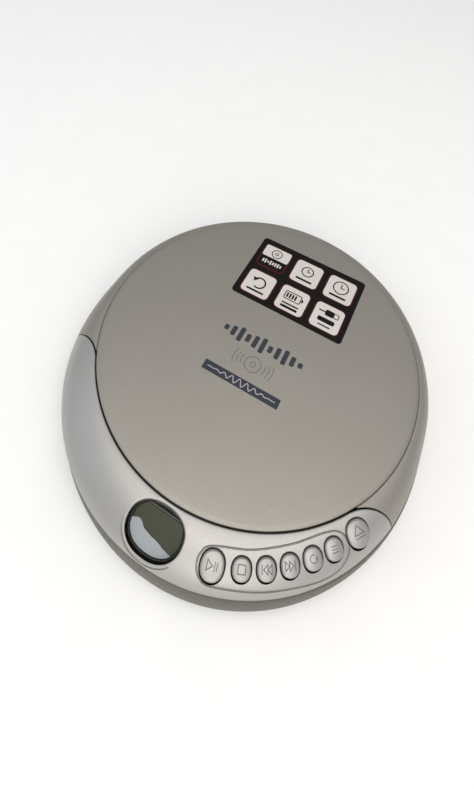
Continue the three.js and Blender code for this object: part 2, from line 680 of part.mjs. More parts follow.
function foot([x, y]) {
  const profile = [[0, 0], [4.0, 0], [4.4, 0.4], [4.4, 1.6], [0, 1.6]];
  return turned(profile, SMALL).translate(x, y, 0);
}

function caseScrew([x, y]) {
  const profile = [[0, 1.5], [2.1, 1.5], [2.2, 1.7], [2.2, 2.0], [0.95, 2.0], [0.95, 15.5], [0, 15.5]];
  const slot = solid(block(-1.6, 1.6, -0.3, 0.3, 1, 1.65)).translate([x, y, 0]);
  return cut(solid(turned(profile, SMALL).translate(x, y, 0)), slot);
}

// ---- Assembly --------------------------------------------------------------------------------

piece('base_shell', baseShell(), basePlastic);
piece('battery_door', batteryDoor(), basePlastic);
piece('battery_box', batteryBox(), darkPlastic);
piece('battery_contact_positive', solid(block(28.15, 28.65, 44.5, 56.5, 4.5, 15.5)), steel);
piece('battery_contact_negative', springPlate(1, 35, 5), steel);
piece('battery_contact_bridge', batteryBridge(), steel);
piece('disc_deck', discDeck(), greyPlastic);
piece('front_fascia', frontFascia(), fasciaPaint);
piece('lid_cover', lidCover(), lidPaint);
piece('lid_liner', lidLiner(), greyPlastic);
piece('lid_hook', lidHook(), greyPlastic);
piece('lid_label', lidLabel(), stickerFilm);
KEYS.forEach((key) => piece(key.name, keyCap(key), keyPaint));
piece('key_board', keyBoard(), boardGreen);
piece('display_window', displayWindow(), clearPlastic);
piece('display_frame', displayFrame(), darkPlastic);
piece('display_module', displayModule(), displayGlass);
piece('main_circuit_board', mainBoard(), boardGreen);
piece('headphone_jack', headphoneJack(), darkPlastic);
piece('power_socket', powerSocket(), steel);
piece('volume_wheel', volumeWheel(), darkPlastic);
piece('hold_switch', holdSwitch(), darkPlastic);
piece('lid_switch', lidSwitch(), darkPlastic);
piece('mechanism_chassis', mechanismChassis(), steel);
piece('spindle_motor', spindleMotor(), steel);
piece('turntable', turntable(), darkPlastic);
piece('pickup_sled', pickupSled(), darkPlastic);
piece('objective_lens', objectiveLens(), lensGlass);
piece('guide_rail_front', bar(RAIL_R, -63, -12.2, -RAIL_Y, RAIL_Z), steel);
piece('guide_rail_rear', bar(RAIL_R, -63, -12.2, RAIL_Y, RAIL_Z), steel);
piece('feed_gear', feedGear(), greyPlastic);
piece('drive_pinion', drivePinion(), greyPlastic);
piece('sled_motor', sledMotor(), steel);
DAMPERS.forEach((place, i) => piece(`damper_${i + 1}`, damper(place), softRubber));
DAMPERS.forEach((place, i) => piece(`damper_screw_${i + 1}`, damperScrew(place), steel));
piece('ribbon_cable', ribbonCable(), amber);
piece('latch_slider', latchSlider(), greyPlastic);
piece('latch_spring', latchSpring(), spring);
piece('hinge_pin', bar(0.9, -14, 14, HINGE_Y, HINGE_Z), steel);
piece('lid_spring', lidSpring(), spring);
FEET.forEach((place, i) => piece(`foot_${i + 1}`, foot(place), softRubber));
BOSSES.forEach((place, i) => piece(`case_screw_${i + 1}`, caseScrew(place), steel));

export default group;
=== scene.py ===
from math import atan2, copysign, cos, degrees, hypot, pi, radians, sin, sqrt

import bmesh
import bpy
from mathutils import Matrix, Vector


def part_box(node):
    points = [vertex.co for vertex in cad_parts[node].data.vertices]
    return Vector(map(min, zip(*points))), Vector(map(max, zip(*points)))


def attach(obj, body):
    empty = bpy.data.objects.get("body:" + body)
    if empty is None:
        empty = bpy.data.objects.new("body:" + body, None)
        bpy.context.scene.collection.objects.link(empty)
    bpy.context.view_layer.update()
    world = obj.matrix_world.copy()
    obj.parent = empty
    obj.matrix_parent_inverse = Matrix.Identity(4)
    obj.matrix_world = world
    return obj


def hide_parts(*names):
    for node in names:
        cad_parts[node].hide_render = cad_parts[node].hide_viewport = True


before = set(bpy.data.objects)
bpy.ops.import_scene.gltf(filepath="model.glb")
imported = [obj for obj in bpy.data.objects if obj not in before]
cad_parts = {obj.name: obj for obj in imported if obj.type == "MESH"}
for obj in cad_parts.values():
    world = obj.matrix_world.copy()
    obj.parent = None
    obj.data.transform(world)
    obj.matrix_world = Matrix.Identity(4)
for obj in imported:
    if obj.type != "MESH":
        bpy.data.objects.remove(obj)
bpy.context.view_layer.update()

# A portable CD player. Shapes are worked out in millimetres around the disc axis, with +X to the
# right, +Y to the back and +Z up, and are put into the frame at the end. Angles around the disc
# axis run from the front, -Y, towards +X.

MM = 0.001


def low_high(node):
    """A node's box in millimetres, in the row frame."""
    return [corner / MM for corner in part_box(node)]


# ---- Driving dimensions ----

DISC_Y = sum(low_high("turntable"), Vector()).y / 2
PART_R = low_high("lid_cover")[1].x      # outline where the upper and lower casings meet
CASE_R = low_high("base_shell")[1].x     # widest part of the lower casing
BULGE = 2 * DISC_Y * PART_R / CASE_R     # how far the outline reaches further forward
LID_R = 62.3                             # raised round part of the lid
SEAM_R = 62.75                           # inner edge of the front band
WELL_R = 61.0                            # disc well
FLOOR_Z = low_high("base_shell")[0].z
PART_Z = low_high("front_fascia")[0].z   # parting line
BASE_TOP = PART_Z - 0.15                 # top of the lower casing's wall
SEAM_Z = 25.4
LID_Z = 26.8
DECK_TOP = 19.4
RIM_Z = 22.8                             # top of the wall around the disc well
BAND_FOOT_Z = 19.8                       # lower end of the front band's inner wall, at most
TONGUE_R = 15.6                          # rounded ends of the front band
TONGUE_ANGLE = radians(53)
TONGUE_GAP = 0.45                        # between the band's ends and the lid
DRAWN_IN = 1.2                           # how far the lower casing is drawn in under the band, at most
HINGE_Y, HINGE_Z, HINGE_HALF = 68.2, 16.3, 15.5

KEY_TILT = 14
KEY_PROUD = 0.9                          # a key's middle above the band
KEY_SAG = 0.28                           # a key's rim below its middle
KEY_ROLL = 0.8                           # rounding of a key's upper edge
KEY_GAP = 0.3                            # between a key and its hole
KEYS = {
    "play": (15.4, 72.4, 3.6, 4.1),
    "stop": (22.3, 71.8, 2.85, 3.1),
    "skip_back": (28.2, 71.3, 2.85, 3.1),
    "skip_forward": (34.0, 70.7, 2.85, 3.1),
    "program": (39.9, 70.0, 2.95, 3.1),
    "mode": (45.8, 69.3, 2.95, 3.1),
    "open": (53.4, 68.4, 3.85, 3.9),
}                                        # angle, radius, half width and half height
WINDOW = {"angle": -0.4, "radius": 70.9, "z": 22.2, "wide": 9.6, "high": 7.77, "tilt": 24}
WINDOW_POWER = 2.24                      # exponents of the superellipses that windows and keys follow
KEY_POWER = 2.2
DOME_R, DOME_SAG = 60.4, 0.5             # the lid's dome falls by DOME_SAG at DOME_R


# ---- Curves and surfaces of the casing ----

def node_middle(node):
    """The middle of a node's box, about the disc axis."""
    low, high = low_high(node)
    middle = (low + high) / 2
    return middle.x, middle.y - DISC_Y, middle.z


def polar(angle, radius):
    return radius * sin(angle), -radius * cos(angle)


def outline(angle):
    """Radius of the casing's outline: the hull of two circles of PART_R, one of them BULGE forward."""
    forward, aside = cos(angle), abs(sin(angle))
    if forward <= 0:
        return PART_R
    if PART_R * forward <= BULGE * aside:
        return PART_R / aside
    return BULGE * forward + sqrt(PART_R ** 2 - (BULGE * aside) ** 2)


def shoulder(share):
    """Height of the rounded shoulder, from 0 at the seam to 1 at the parting line."""
    share = min(max(share, 0.0), 1.0)
    return PART_Z + (SEAM_Z - PART_Z) * (1 - share * share) ** 0.7


def drawn_in(angle):
    """How far the lower casing is drawn in under the band: most at the left front, not at all elsewhere."""
    turn = degrees(atan2(sin(angle), cos(angle)))
    share = min(1.0, max(0.0, (turn + 128) / 50)) * min(1.0, max(0.0, (20 - turn) / 60))
    return DRAWN_IN * share * share * (3 - 2 * share)


def band_height(x, y):
    angle = atan2(x, -y)
    return shoulder((hypot(x, y) - SEAM_R) / (outline(angle) - SEAM_R))


def lid_height(x, y):
    return LID_Z - DOME_SAG * (x * x + y * y) / DOME_R ** 2


def tongue_edge(angle, gap):
    """Radius where the edge of a tongue, grown by gap, meets a ray from the disc axis."""
    end_r = TONGUE_R + gap
    away = abs(angle) - TONGUE_ANGLE
    reach = SEAM_R + TONGUE_R
    across = reach * sin(away)
    if away <= 0:
        return reach - end_r
    if across >= end_r:
        return 2 * reach
    return reach * cos(away) - sqrt(end_r ** 2 - across ** 2)


def angle_where(test, start, end):
    """The angle where test changes from true to false."""
    for _ in range(40):
        middle = (start + end) / 2
        start, end = (middle, end) if test(middle) else (start, middle)
    return start


def superellipse(wide, high, power, steps=72):
    points = []
    for i in range(steps):
        c, s = cos(2 * pi * i / steps), sin(2 * pi * i / steps)
        points.append((
            wide * copysign(abs(c) ** (2 / power), c),
            high * copysign(abs(s) ** (2 / power), s),
        ))
    return points


def rounded_box(left, right, front, back, corner, steps=6):
    points = []
    for cx, cy, start in (
        (right - corner, back - corner, 0), (left + corner, back - corner, 90),
        (left + corner, front + corner, 180), (right - corner, front + corner, 270),
    ):
        for i in range(steps + 1):
            a = radians(start + 90 * i / steps)
            points.append((cx + corner * cos(a), cy + corner * sin(a)))
    return points


def arc(x, y, radius, start, end, steps=24):
    """Points of an arc; the angles are in degrees from +X."""
    turns = [radians(start + (end - start) * i / steps) for i in range(steps + 1)]
    return [(x + radius * cos(a), y + radius * sin(a)) for a in turns]


def quarter(radius, steps):
    """A quarter turn of a rounded edge, as (inward, down) from its outermost and uppermost lines."""
    turns = [radians(90 * k / steps) for k in range(steps + 1)]
    return [(radius * (1 - cos(turn)), radius * (1 - sin(turn))) for turn in turns]


def rounded(corners, steps=4):
    """An open outline from (across, up, radius) corners, each turned into a small curve."""
    points = []
    for i, (x, y, radius) in enumerate(corners):
        here = Vector((x, y))
        if radius == 0 or i in (0, len(corners) - 1):
            points.append((x, y))
            continue
        before = Vector(corners[i - 1][:2]) - here
        after = Vector(corners[i + 1][:2]) - here
        start = here + before.normalized() * min(radius, before.length * 0.48)
        end = here + after.normalized() * min(radius, after.length * 0.48)
        for k in range(steps + 1):
            t = k / steps
            point = start * (1 - t) ** 2 + here * 2 * t * (1 - t) + end * t * t
            points.append((point.x, point.y))
    return points


def rotation(angle, axis="Z"):
    return Matrix.Rotation(radians(angle), 4, axis)


def shift(x, y, z):
    return Matrix.Translation((x, y, z))


# ---- Meshes ----

def moved(made, matrix):
    made.data.transform(matrix)
    return made


def solid(points, faces):
    """A mesh object, still in millimetres, with its faces pointing out."""
    mesh = bpy.data.meshes.new("solid")
    mesh.from_pydata(points, [], faces)
    shape = bmesh.new()
    shape.from_mesh(mesh)
    bmesh.ops.remove_doubles(shape, verts=shape.verts, dist=1e-5)
    bmesh.ops.recalc_face_normals(shape, faces=shape.faces)
    shape.to_mesh(mesh)
    shape.free()
    made = bpy.data.objects.new("solid", mesh)
    bpy.context.scene.collection.objects.link(made)
    return made


def loft(loops, ring=False):
    """A solid through closed loops of points; its ends are capped, unless the loops form a ring."""
    size = len(loops[0])
    points = [point for loop in loops for point in loop]
    faces = []
    count = len(loops)
    for k in range(count if ring else count - 1):
        here, there = k * size, (k + 1) % count * size
        for i in range(size):
            j = (i + 1) % size
            faces.append((here + i, here + j, there + j, there + i))
    if not ring:
        faces.append(tuple(range(size)))
        faces.append(tuple(reversed(range((count - 1) * size, count * size))))
    return solid(points, faces)


def turned(profile, steps=96, x=0.0, y=0.0, reach=None):
    """A solid turned about Z; reach, if given, scales each direction's radius."""
    points, rings = [], []
    for radius, height in profile:
        if radius == 0:
            rings.append([len(points)] * steps)
            points.append((x, y, height))
            continue
        rings.append(list(range(len(points), len(points) + steps)))
        for i in range(steps):
            angle = 2 * pi * i / steps
            px, py = polar(angle, radius * (reach(angle) if reach else 1))
            points.append((x + px, y + py, height))
    if profile[0][0] > 0:
        rings.append(rings[0])
    faces = []
    for low, high in zip(rings, rings[1:]):
        for i in range(steps):
            j = (i + 1) % steps
            faces.append(tuple(dict.fromkeys((low[i], low[j], high[j], high[i]))))
    return solid(points, faces)


def lathe(corners, steps=96, x=0.0, y=0.0, reach=None):
    return turned(rounded(corners), steps, x, y, reach)


def middle_of(points):
    return [sum(p[i] for p in points) / len(points) for i in (0, 1)]


def prism(outline_points, bottom, top, edge=0.0):
    """An upright solid of an outline, with its upper and lower edges rounded by edge."""
    middle = Vector(middle_of(outline_points))
    levels = [(bottom, 0.0), (top, 0.0)]
    if edge:
        lower = [(bottom + down, inward) for inward, down in reversed(quarter(edge, 4))]
        levels = lower + [(top + bottom - z, inset) for z, inset in reversed(lower)]
    loops = []
    for z, inset in levels:
        loop = []
        for px, py in outline_points:
            away = Vector((px, py)) - middle
            away *= max(0.0, 1 - inset / max(away.length, 1e-6))
            loop.append((middle.x + away.x, middle.y + away.y, z))
        loops.append(loop)
    return loft(loops)


def box(left, right, front, back, bottom, top, edge=0.0):
    made = solid(
        [(x, y, z) for z in (bottom, top) for x, y in (
            (left, front), (right, front), (right, back), (left, back))],
        [(3, 2, 1, 0), (4, 5, 6, 7), (0, 1, 5, 4), (1, 2, 6, 5), (2, 3, 7, 6), (3, 0, 4, 7)],
    )
    if edge:
        soften(made, edge, 3, 30)
        baked(made)
    return made


def rod(radius, bottom, top, x=0.0, y=0.0, steps=48, edge=0.0):
    profile = [(0, bottom, 0), (radius, bottom, edge), (radius, top, edge), (0, top, 0)]
    return lathe(profile, steps, x, y)


def bar(radius, left, right, y, z, steps=40, edge=0.0):
    return moved(rod(radius, left, right, steps=steps, edge=edge), shift(0, y, z) @ rotation(90, "Y"))


def blanket(loop, height, lift, thick, rings=5):
    """A thin solid that follows a surface; the loop is its outline seen from above."""
    cx, cy = middle_of(loop)
    size = len(loop)
    points, faces = [], []
    for side in (lift, lift - thick):
        for k in range(rings):
            share = 1 - k / rings
            for px, py in loop:
                x, y = cx + (px - cx) * share, cy + (py - cy) * share
                points.append((x, y, height(x, y) + side))
        points.append((cx, cy, height(cx, cy) + side))
    layer = rings * size + 1
    for start in (0, layer):
        for k in range(rings - 1):
            for i in range(size):
                j = (i + 1) % size
                here, inner = start + k * size, start + (k + 1) * size
                faces.append((here + i, here + j, inner + j, inner + i))
        last = start + (rings - 1) * size
        faces += [(last + i, last + (i + 1) % size, start + layer - 1) for i in range(size)]
    faces += [(i, (i + 1) % size, layer + (i + 1) % size, layer + i) for i in range(size)]
    return solid(points, faces)


def stroke(path, width, height, top, bottom, closed=False, narrow=1.0):
    """A ribbon along a path on a surface, from top to bottom about the surface's height."""
    count = len(path)
    loops = []
    for i in range(count):
        here = Vector(path[i])
        before = Vector(path[i - 1]) if closed or i else None
        after = Vector(path[(i + 1) % count]) if closed or i < count - 1 else None
        into = (here - before).normalized() if before is not None else (after - here).normalized()
        out = (after - here).normalized() if after is not None else into
        side = Vector((-(into + out).y, (into + out).x)).normalized()
        stretch = min(2.0, 1 / max(0.3, side.dot(Vector((-into.y, into.x)))))
        loop = []
        for share, level in ((0.5, top), (-0.5, top), (-0.5 * narrow, bottom), (0.5 * narrow, bottom)):
            spot = here + side * (width * share * stretch)
            loop.append((spot.x, spot.y, height(spot.x, spot.y) + level))
        loops.append(loop)
    return loft(loops, ring=closed)


def baked(made):
    """Applies an object's modifiers to its mesh."""
    graph = bpy.context.evaluated_depsgraph_get()
    mesh = bpy.data.meshes.new_from_object(made.evaluated_get(graph))
    made.modifiers.clear()
    made.data = mesh
    return made


def soften(made, width, segments, angle):
    """Adds a bevel along the edges that are sharper than angle."""
    modifier = made.modifiers.new("bevel", "BEVEL")
    modifier.width = width
    modifier.segments = segments
    modifier.limit_method = "ANGLE"
    modifier.angle_limit = radians(angle)


def joined(*parts):
    """One mesh object from several that don't touch."""
    shape = bmesh.new()
    for part in parts:
        shape.from_mesh(part.data)
    first = parts[0]
    for part in parts[1:]:
        bpy.data.objects.remove(part)
    shape.to_mesh(first.data)
    shape.free()
    return first


def boolean(made, operation, tools):
    for tool in tools:
        modifier = made.modifiers.new("boolean", "BOOLEAN")
        modifier.operation = operation
        modifier.solver = "EXACT"
        modifier.object = tool
        bpy.context.view_layer.update()
        baked(made)
        bpy.data.objects.remove(tool)
    return made


def cut(made, *tools):
    return boolean(made, "DIFFERENCE", tools)


def added(made, *tools):
    return boolean(made, "UNION", tools)


def kept(made, *tools):
    return boolean(made, "INTERSECT", tools)


TO_FRAME = Matrix.Scale(MM, 4) @ shift(0, DISC_Y, 0)


def piece(made, name, body, finish, *nodes):
    """Puts a finished shape into the frame as a named piece that rides on a body."""
    slot, material = finish
    mesh = made.data
    made.name = mesh.name = name
    mesh.transform(TO_FRAME)
    mesh.polygons.foreach_set("use_smooth", [True] * len(mesh.polygons))
    mesh.set_sharp_from_angle(angle=radians(32))
    mesh.materials.clear()
    mesh.materials.append(material)
    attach(made, body)
    if nodes:
        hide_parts(*nodes)
    return made


def around(made, angle):
    return moved(made, rotation(angle))


def leaning(angle, radius, z, tilt):
    """Where a shape drawn about its own middle goes on the front band."""
    return rotation(angle) @ shift(0, -radius, z) @ rotation(tilt, "X")


# ---- Materials ----

def new_material(name):
    material = bpy.data.materials.new(name)
    material.use_nodes = True
    return material, material.node_tree, material.node_tree.nodes["Principled BSDF"]


def feed(tree, socket, value):
    """Sets an input to a number, or to a colour of three, or links it to another node's output."""
    if isinstance(value, bpy.types.NodeSocket):
        tree.links.new(value, socket)
    else:
        socket.default_value = (*value, 1) if socket.type == "RGBA" else value


def feed_all(tree, node, **values):
    """Feeds a node's inputs; an underscore stands for a space in their names."""
    for name, value in values.items():
        feed(tree, node.inputs[name.replace("_", " ")], value)


def add_node(tree, kind, **values):
    node = tree.nodes.new("ShaderNode" + kind)
    feed_all(tree, node, **values)
    return node


def on_object(tree):
    return add_node(tree, "TexCoord").outputs["Object"]


def noise(tree, scale, detail=3.0, stretch=(1, 1, 1)):
    place = add_node(tree, "Mapping", Vector=on_object(tree), Scale=stretch)
    return add_node(
        tree, "TexNoise", Vector=place.outputs["Vector"], Scale=scale, Detail=detail, Roughness=0.55,
    ).outputs["Fac"]


def ramp(tree, value, start, end, first, last):
    """Maps value from start..end to first..last."""
    return add_node(
        tree, "MapRange", Value=value, From_Min=start, From_Max=end, To_Min=first, To_Max=last,
    ).outputs["Result"]


def mix(tree, factor, first, second):
    """A colour between two, each given as a colour or a socket."""
    node = add_node(tree, "Mix")
    node.data_type = "RGBA"
    tree.links.new(factor, node.inputs["Factor"])
    for name, color in (("A", first), ("B", second)):
        feed(tree, [s for s in node.inputs if s.name == name and s.type == "RGBA"][0], color)
    return [s for s in node.outputs if s.type == "RGBA"][0]


def bricks(tree, scale, mortar, first, second, between):
    return add_node(
        tree, "TexBrick", Vector=on_object(tree), Scale=scale, Mortar_Size=mortar, Color1=first,
        Color2=second, Mortar=between,
    ).outputs


def bumped(tree, height, strength, distance):
    return add_node(tree, "Bump", Height=height, Strength=strength, Distance=distance).outputs["Normal"]


def scaled(color, by):
    return tuple(min(1.0, c * by) for c in color)


def moulded(name, color, rough, metal=0.0, grain=1500, depth=0.00003, mottle=0.05, coat=0.0,
            stretch=(1, 1, 1), gloss=0.5):
    """Painted or plain moulded plastic, or metal: mottled colour, uneven gloss and a fine grain."""
    material, tree, shader = new_material(name)
    broad = ramp(tree, noise(tree, 45, 4), 0.3, 0.7, 0.0, 1.0)
    fine = noise(tree, grain, 2, stretch)
    colour = mix(tree, broad, scaled(color, 1 - mottle), scaled(color, 1 + mottle))
    speck = ramp(tree, fine, 0.35, 0.7, 0.0, 0.35)
    feed_all(
        tree, shader, Metallic=metal, Specular_IOR_Level=gloss, Coat_Weight=coat, Coat_Roughness=0.2,
        Base_Color=mix(tree, speck, colour, scaled(color, 1 - 3 * mottle)),
        Roughness=ramp(tree, fine, 0.3, 0.7, rough * 0.85, rough * 1.15),
        Normal=bumped(tree, fine, 0.5, depth),
    )
    return material


def paint(name, color, rough, depth):
    return moulded(name, color, rough, 0.75, 2600, depth, 0.02)


# Matte, non-metal colour: printing inks, and also the painted shade in the engraved key symbols
def ink_and_shade(name, color, rough, mottle, gloss=0.5):
    return moulded(name, color, rough, 0.0, 1800, 0.00001, mottle, gloss=gloss)


def circuit(name, mask, track):
    """Solder mask over a grid of copper tracks, with bright solder points."""
    material, tree, shader = new_material(name)
    tracks = bricks(tree, 400, 0.12, mask, scaled(mask, 1.3), track)
    dots = add_node(tree, "TexVoronoi", Vector=on_object(tree), Scale=330)
    solder = ramp(tree, dots.outputs["Distance"], 0.14, 0.2, 1.0, 0.0)
    feed_all(
        tree, shader, Base_Color=mix(tree, solder, tracks["Color"], (0.6, 0.58, 0.52)), Metallic=solder,
        Roughness=ramp(tree, solder, 0, 1, 0.4, 0.25), Normal=bumped(tree, tracks["Fac"], 0.4, 0.00003),
    )
    return material


def see_through(name, color, alpha, rough, gloss=0.5):
    material, tree, shader = new_material(name)
    haze = noise(tree, 300, 3)
    feed_all(
        tree, shader, Alpha=alpha, Specular_IOR_Level=gloss,
        Base_Color=mix(tree, haze, color, scaled(color, 0.9)),
        Roughness=ramp(tree, haze, 0.3, 0.7, rough * 0.7, rough * 1.3),
    )
    return material


def liquid_crystal(name):
    """Olive display cell with faint unlit segments."""
    material, tree, shader = new_material(name)
    cells = bricks(tree, 240, 0.3, (0.042, 0.045, 0.02), (0.045, 0.048, 0.021), (0.052, 0.055, 0.025))
    clouds = ramp(tree, noise(tree, 120, 2), 0.3, 0.7, 0.0, 1.0)
    feed_all(
        tree, shader, Base_Color=mix(tree, clouds, cells["Color"], (0.058, 0.06, 0.03)),
        Roughness=ramp(tree, clouds, 0, 1, 0.3, 0.4),
    )
    return material


# Each finish is the name of a slot and a material.
LID_PAINT = "lid_plastic", paint("silver_lid_paint", (0.33, 0.31, 0.277), 0.5, 0.000012)
BAND_PAINT = "fascia_plastic", paint("silver_band_paint", (0.41, 0.4, 0.38), 0.42, 0.00001)
KEY_PAINT = "key_plastic", paint("silver_key_paint", (0.37, 0.36, 0.345), 0.4, 0.000008)
BASE_PLASTIC = "base_plastic", moulded(
    "olive_grey_plastic", (0.096, 0.092, 0.073), 0.55, 0.1, depth=0.00005, mottle=0.06)
DARK_PLASTIC = "dark_plastic", moulded("black_plastic", (0.014, 0.014, 0.015), 0.45, mottle=0.1)
GREY_PLASTIC = "grey_plastic", moulded("grey_plastic", (0.2, 0.2, 0.2), 0.5)
BEZEL_PLASTIC = "dark_plastic", GREY_PLASTIC[1]
DECK_PLASTIC = "grey_plastic", moulded(
    "charcoal_plastic", (0.055, 0.056, 0.058), 0.5, depth=0.00004, mottle=0.06)
WHITE_PLASTIC = "white_plastic", moulded(
    "natural_acetal", (0.72, 0.7, 0.64), 0.4, depth=0.00002, mottle=0.04)
STEEL = "steel", moulded(
    "zinc_plated_steel", (0.62, 0.62, 0.61), 0.28, 1.0, 900, 0.00001, 0.06, stretch=(1, 6, 1))
SPRING_STEEL = "steel", moulded("spring_steel", (0.7, 0.7, 0.69), 0.22, 1.0, 1200, 0.000006)
COPPER = "steel", moulded("copper_winding", (0.75, 0.36, 0.17), 0.35, 1.0, 2500, mottle=0.12)
RUBBER = "rubber", moulded("black_rubber", (0.017, 0.017, 0.017), 0.8, 0.0, 1200, 0.00006, 0.15)
FLEX_FILM = "flex_film", moulded(
    "amber_flexible_circuit", (0.42, 0.19, 0.04), 0.35, 0.0, 900, 0.00001, 0.1, 0.5, (1, 9, 1))
LABEL_BLACK = "label_film", ink_and_shade("label_black_ink", (0.007, 0.005, 0.005), 0.6, 0.1, 0.12)
LABEL_RED = "label_film", ink_and_shade("label_dark_red_ink", (0.05, 0.007, 0.007), 0.5, 0.1, 0.15)
LABEL_PALE = "label_film", ink_and_shade("label_pale_ink", (0.61, 0.57, 0.54), 0.45, 0.03)
SLATE_INK = "lid_plastic", ink_and_shade("slate_printing_ink", (0.037, 0.043, 0.054), 0.5, 0.08, 0.2)
PALE_INK = "lid_plastic", ink_and_shade("pale_printing_ink", (0.42, 0.41, 0.44), 0.45, 0.05)
THIN_INK = "lid_plastic", ink_and_shade("brown_grey_printing_ink", (0.1, 0.09, 0.075), 0.5, 0.08)
# Painted shade: a dark colour that stands in for the shade at the bottom of the engraved key symbols
SYMBOL_SHADE = "key_plastic", ink_and_shade("engraved_symbol_shadow", (0.13, 0.125, 0.12), 0.6, 0.08)
BOARD = "circuit_board", circuit("green_circuit_board", (0.02, 0.11, 0.04), (0.06, 0.27, 0.1))
# Partly painted shade: the board under the keys is a real part, but it is made near black so that the gaps
# around the keys look dark, as shade would make them
KEY_BOARD_SHADE = "circuit_board", circuit("shade_black_circuit_board", (0.008, 0.008, 0.009), (0.03, 0.03, 0.03))
CLEAR = "clear_plastic", see_through("clear_acrylic", (0.05, 0.055, 0.05), 0.12, 0.06, 0.2)
LENS_GLASS = "lens_glass", see_through("coated_lens_glass", (0.12, 0.16, 0.45), 0.55, 0.03)
FILM = "clear_plastic", see_through("protective_film", (0.64, 0.69, 0.73), 0.82, 0.35)
LCD = "display_glass", liquid_crystal("liquid_crystal_cell")


# ---- Camera, light and floor ----

def camera():
    """The photograph's view: the picture's middle is below the lens axis, so the camera is shifted."""
    data = bpy.data.cameras.new("camera")
    data.lens = 21.9
    data.sensor_width = 36
    data.shift_y = -0.2376
    data.clip_start = 0.01
    data.clip_end = 20
    made = bpy.data.objects.new("camera", data)
    turn, lift, roll = radians(22.55), radians(46.07), radians(8.04)
    aim, distance = Vector((-42.95, 60.325, 25.54)), 239.28
    back = Vector((sin(turn) * cos(lift), -cos(turn) * cos(lift), sin(lift)))
    made.rotation_mode = "QUATERNION"
    made.rotation_quaternion = back.to_track_quat("Z", "Y")
    made.rotation_quaternion @= Matrix.Rotation(roll, 3, "Z").to_quaternion()
    made.location = TO_FRAME @ (aim + back * distance)
    bpy.context.scene.collection.objects.link(made)
    bpy.context.scene.camera = made


def area_light(name, place, size, power, color):
    """A square light that faces the origin."""
    data = bpy.data.lights.new(name, "AREA")
    data.size = size
    data.energy = power
    data.color = color
    made = bpy.data.objects.new(name, data)
    made.location = place
    made.rotation_mode = "QUATERNION"
    made.rotation_quaternion = Vector(place).to_track_quat("Z", "Y")
    bpy.context.scene.collection.objects.link(made)


def studio():
    area_light("top_light", (0.12, -0.2, 1.1), 1.0, 6, (1.0, 0.96, 0.9))
    area_light("left_light", (-0.9, -0.45, 0.65), 0.9, 1.0, (0.55, 0.75, 1.0))
    area_light("front_light", (0.45, -1.0, 0.6), 0.9, 4.6, (1.0, 0.95, 0.88))
    world = bpy.data.worlds.new("studio")
    world.use_nodes = True
    tree = world.node_tree
    towards = add_node(tree, "VectorMath")
    towards.operation = "DOT_PRODUCT"
    tree.links.new(add_node(tree, "TexCoord").outputs["Generated"], towards.inputs[0])
    towards.inputs[1].default_value = (0.45, -0.85, 0.25)
    strength = ramp(tree, towards.outputs["Value"], -0.7, 0.7, 0.42, 0.72)
    feed_all(tree, tree.nodes["Background"], Color=(0.96, 0.97, 1.0), Strength=strength)
    bpy.context.scene.world = world
    bpy.context.scene.view_settings.view_transform = "Standard"
    size = 3.0
    mesh = bpy.data.meshes.new("floor")
    corners = [(-size, -size, 0), (size, -size, 0), (size, size, 0), (-size, size, 0)]
    mesh.from_pydata(corners, [], [(0, 1, 2, 3)])
    mesh.materials.append(moulded("pale_floor", (0.93, 0.93, 0.92), 0.7, 0.0, 60, 0.0001, 0.01))
    floor = bpy.data.objects.new("floor", mesh)
    bpy.context.scene.collection.objects.link(floor)


# ---- Lower casing ----

BASE_PROFILE = [
    (0, FLOOR_Z, 0), (67.8, FLOOR_Z, 1.2), (69.7, 2.0, 0.9), (CASE_R, 3.8, 0.9), (CASE_R, 8.5, 2.0),
    (70.1, 12.5, 2.0), (69.35, BASE_TOP - 0.3, 0.3), (69.0, BASE_TOP, 0.2),
]
BASE_HOLLOW = [
    (67.7, BASE_TOP, 0.2), (68.5, 12, 1.0), (68.7, 8, 1.0), (68.7, 4.6, 0.8), (68.0, 3.3, 0.6),
    (66.6, 2.8, 0.6), (0, 2.8, 0),
]
BOSSES = [(44, -44), (-44, -44), (54, 28), (-54, 28)]
JACK = {"angle": 140, "z": 9.2}
POWER_ANGLE = 126
VOLUME = {"angle": -135, "radius": 61.4, "wheel": 10, "low": 7.8, "high": 10.2}
HOLD = {"angle": -108, "z": 9.5}
DOOR_FRONT, DOOR_HALF, DOOR_TOP = 24.9, 28.7, 2.5


def casing_reach(angle):
    return (outline(angle) - drawn_in(angle)) / PART_R


def wall_slot(wide, bottom, top, angle):
    """A round-cornered cutter through the casing's wall."""
    shape = prism(rounded_box(-wide / 2, wide / 2, bottom, top, 0.8), 60, 90)
    return around(moved(shape, rotation(90, "X")), angle)


def radial_rod(radius, inner, outer, z, angle, edge=0.0):
    made = moved(rod(radius, inner, outer, edge=edge), shift(0, 0, z) @ rotation(90, "X"))
    return around(made, angle)


def base_outside():
    return lathe(BASE_PROFILE + [(0, BASE_TOP, 0)], 240, reach=casing_reach)


def door_shape(gap):
    front, half = DOOR_FRONT - gap, DOOR_HALF + gap
    return prism(rounded_box(-half, half, front, 96, 2.0), 0, DOOR_TOP + gap)


def with_knuckles(body, inner, outer, front, back, bottom, top):
    """Adds a pair of hinge knuckles, each on a web, and bores the hole for the hinge rod."""
    knuckles = []
    for left, right in ((inner, outer), (-outer, -inner)):
        web = box(left, right, HINGE_Y + front, HINGE_Y + back, bottom, top)
        knuckles.append(added(bar(2.0, left, right, HINGE_Y, HINGE_Z, edge=0.2), web))
    return cut(added(body, *knuckles), bar(1.2, -16, 16, HINGE_Y, HINGE_Z))


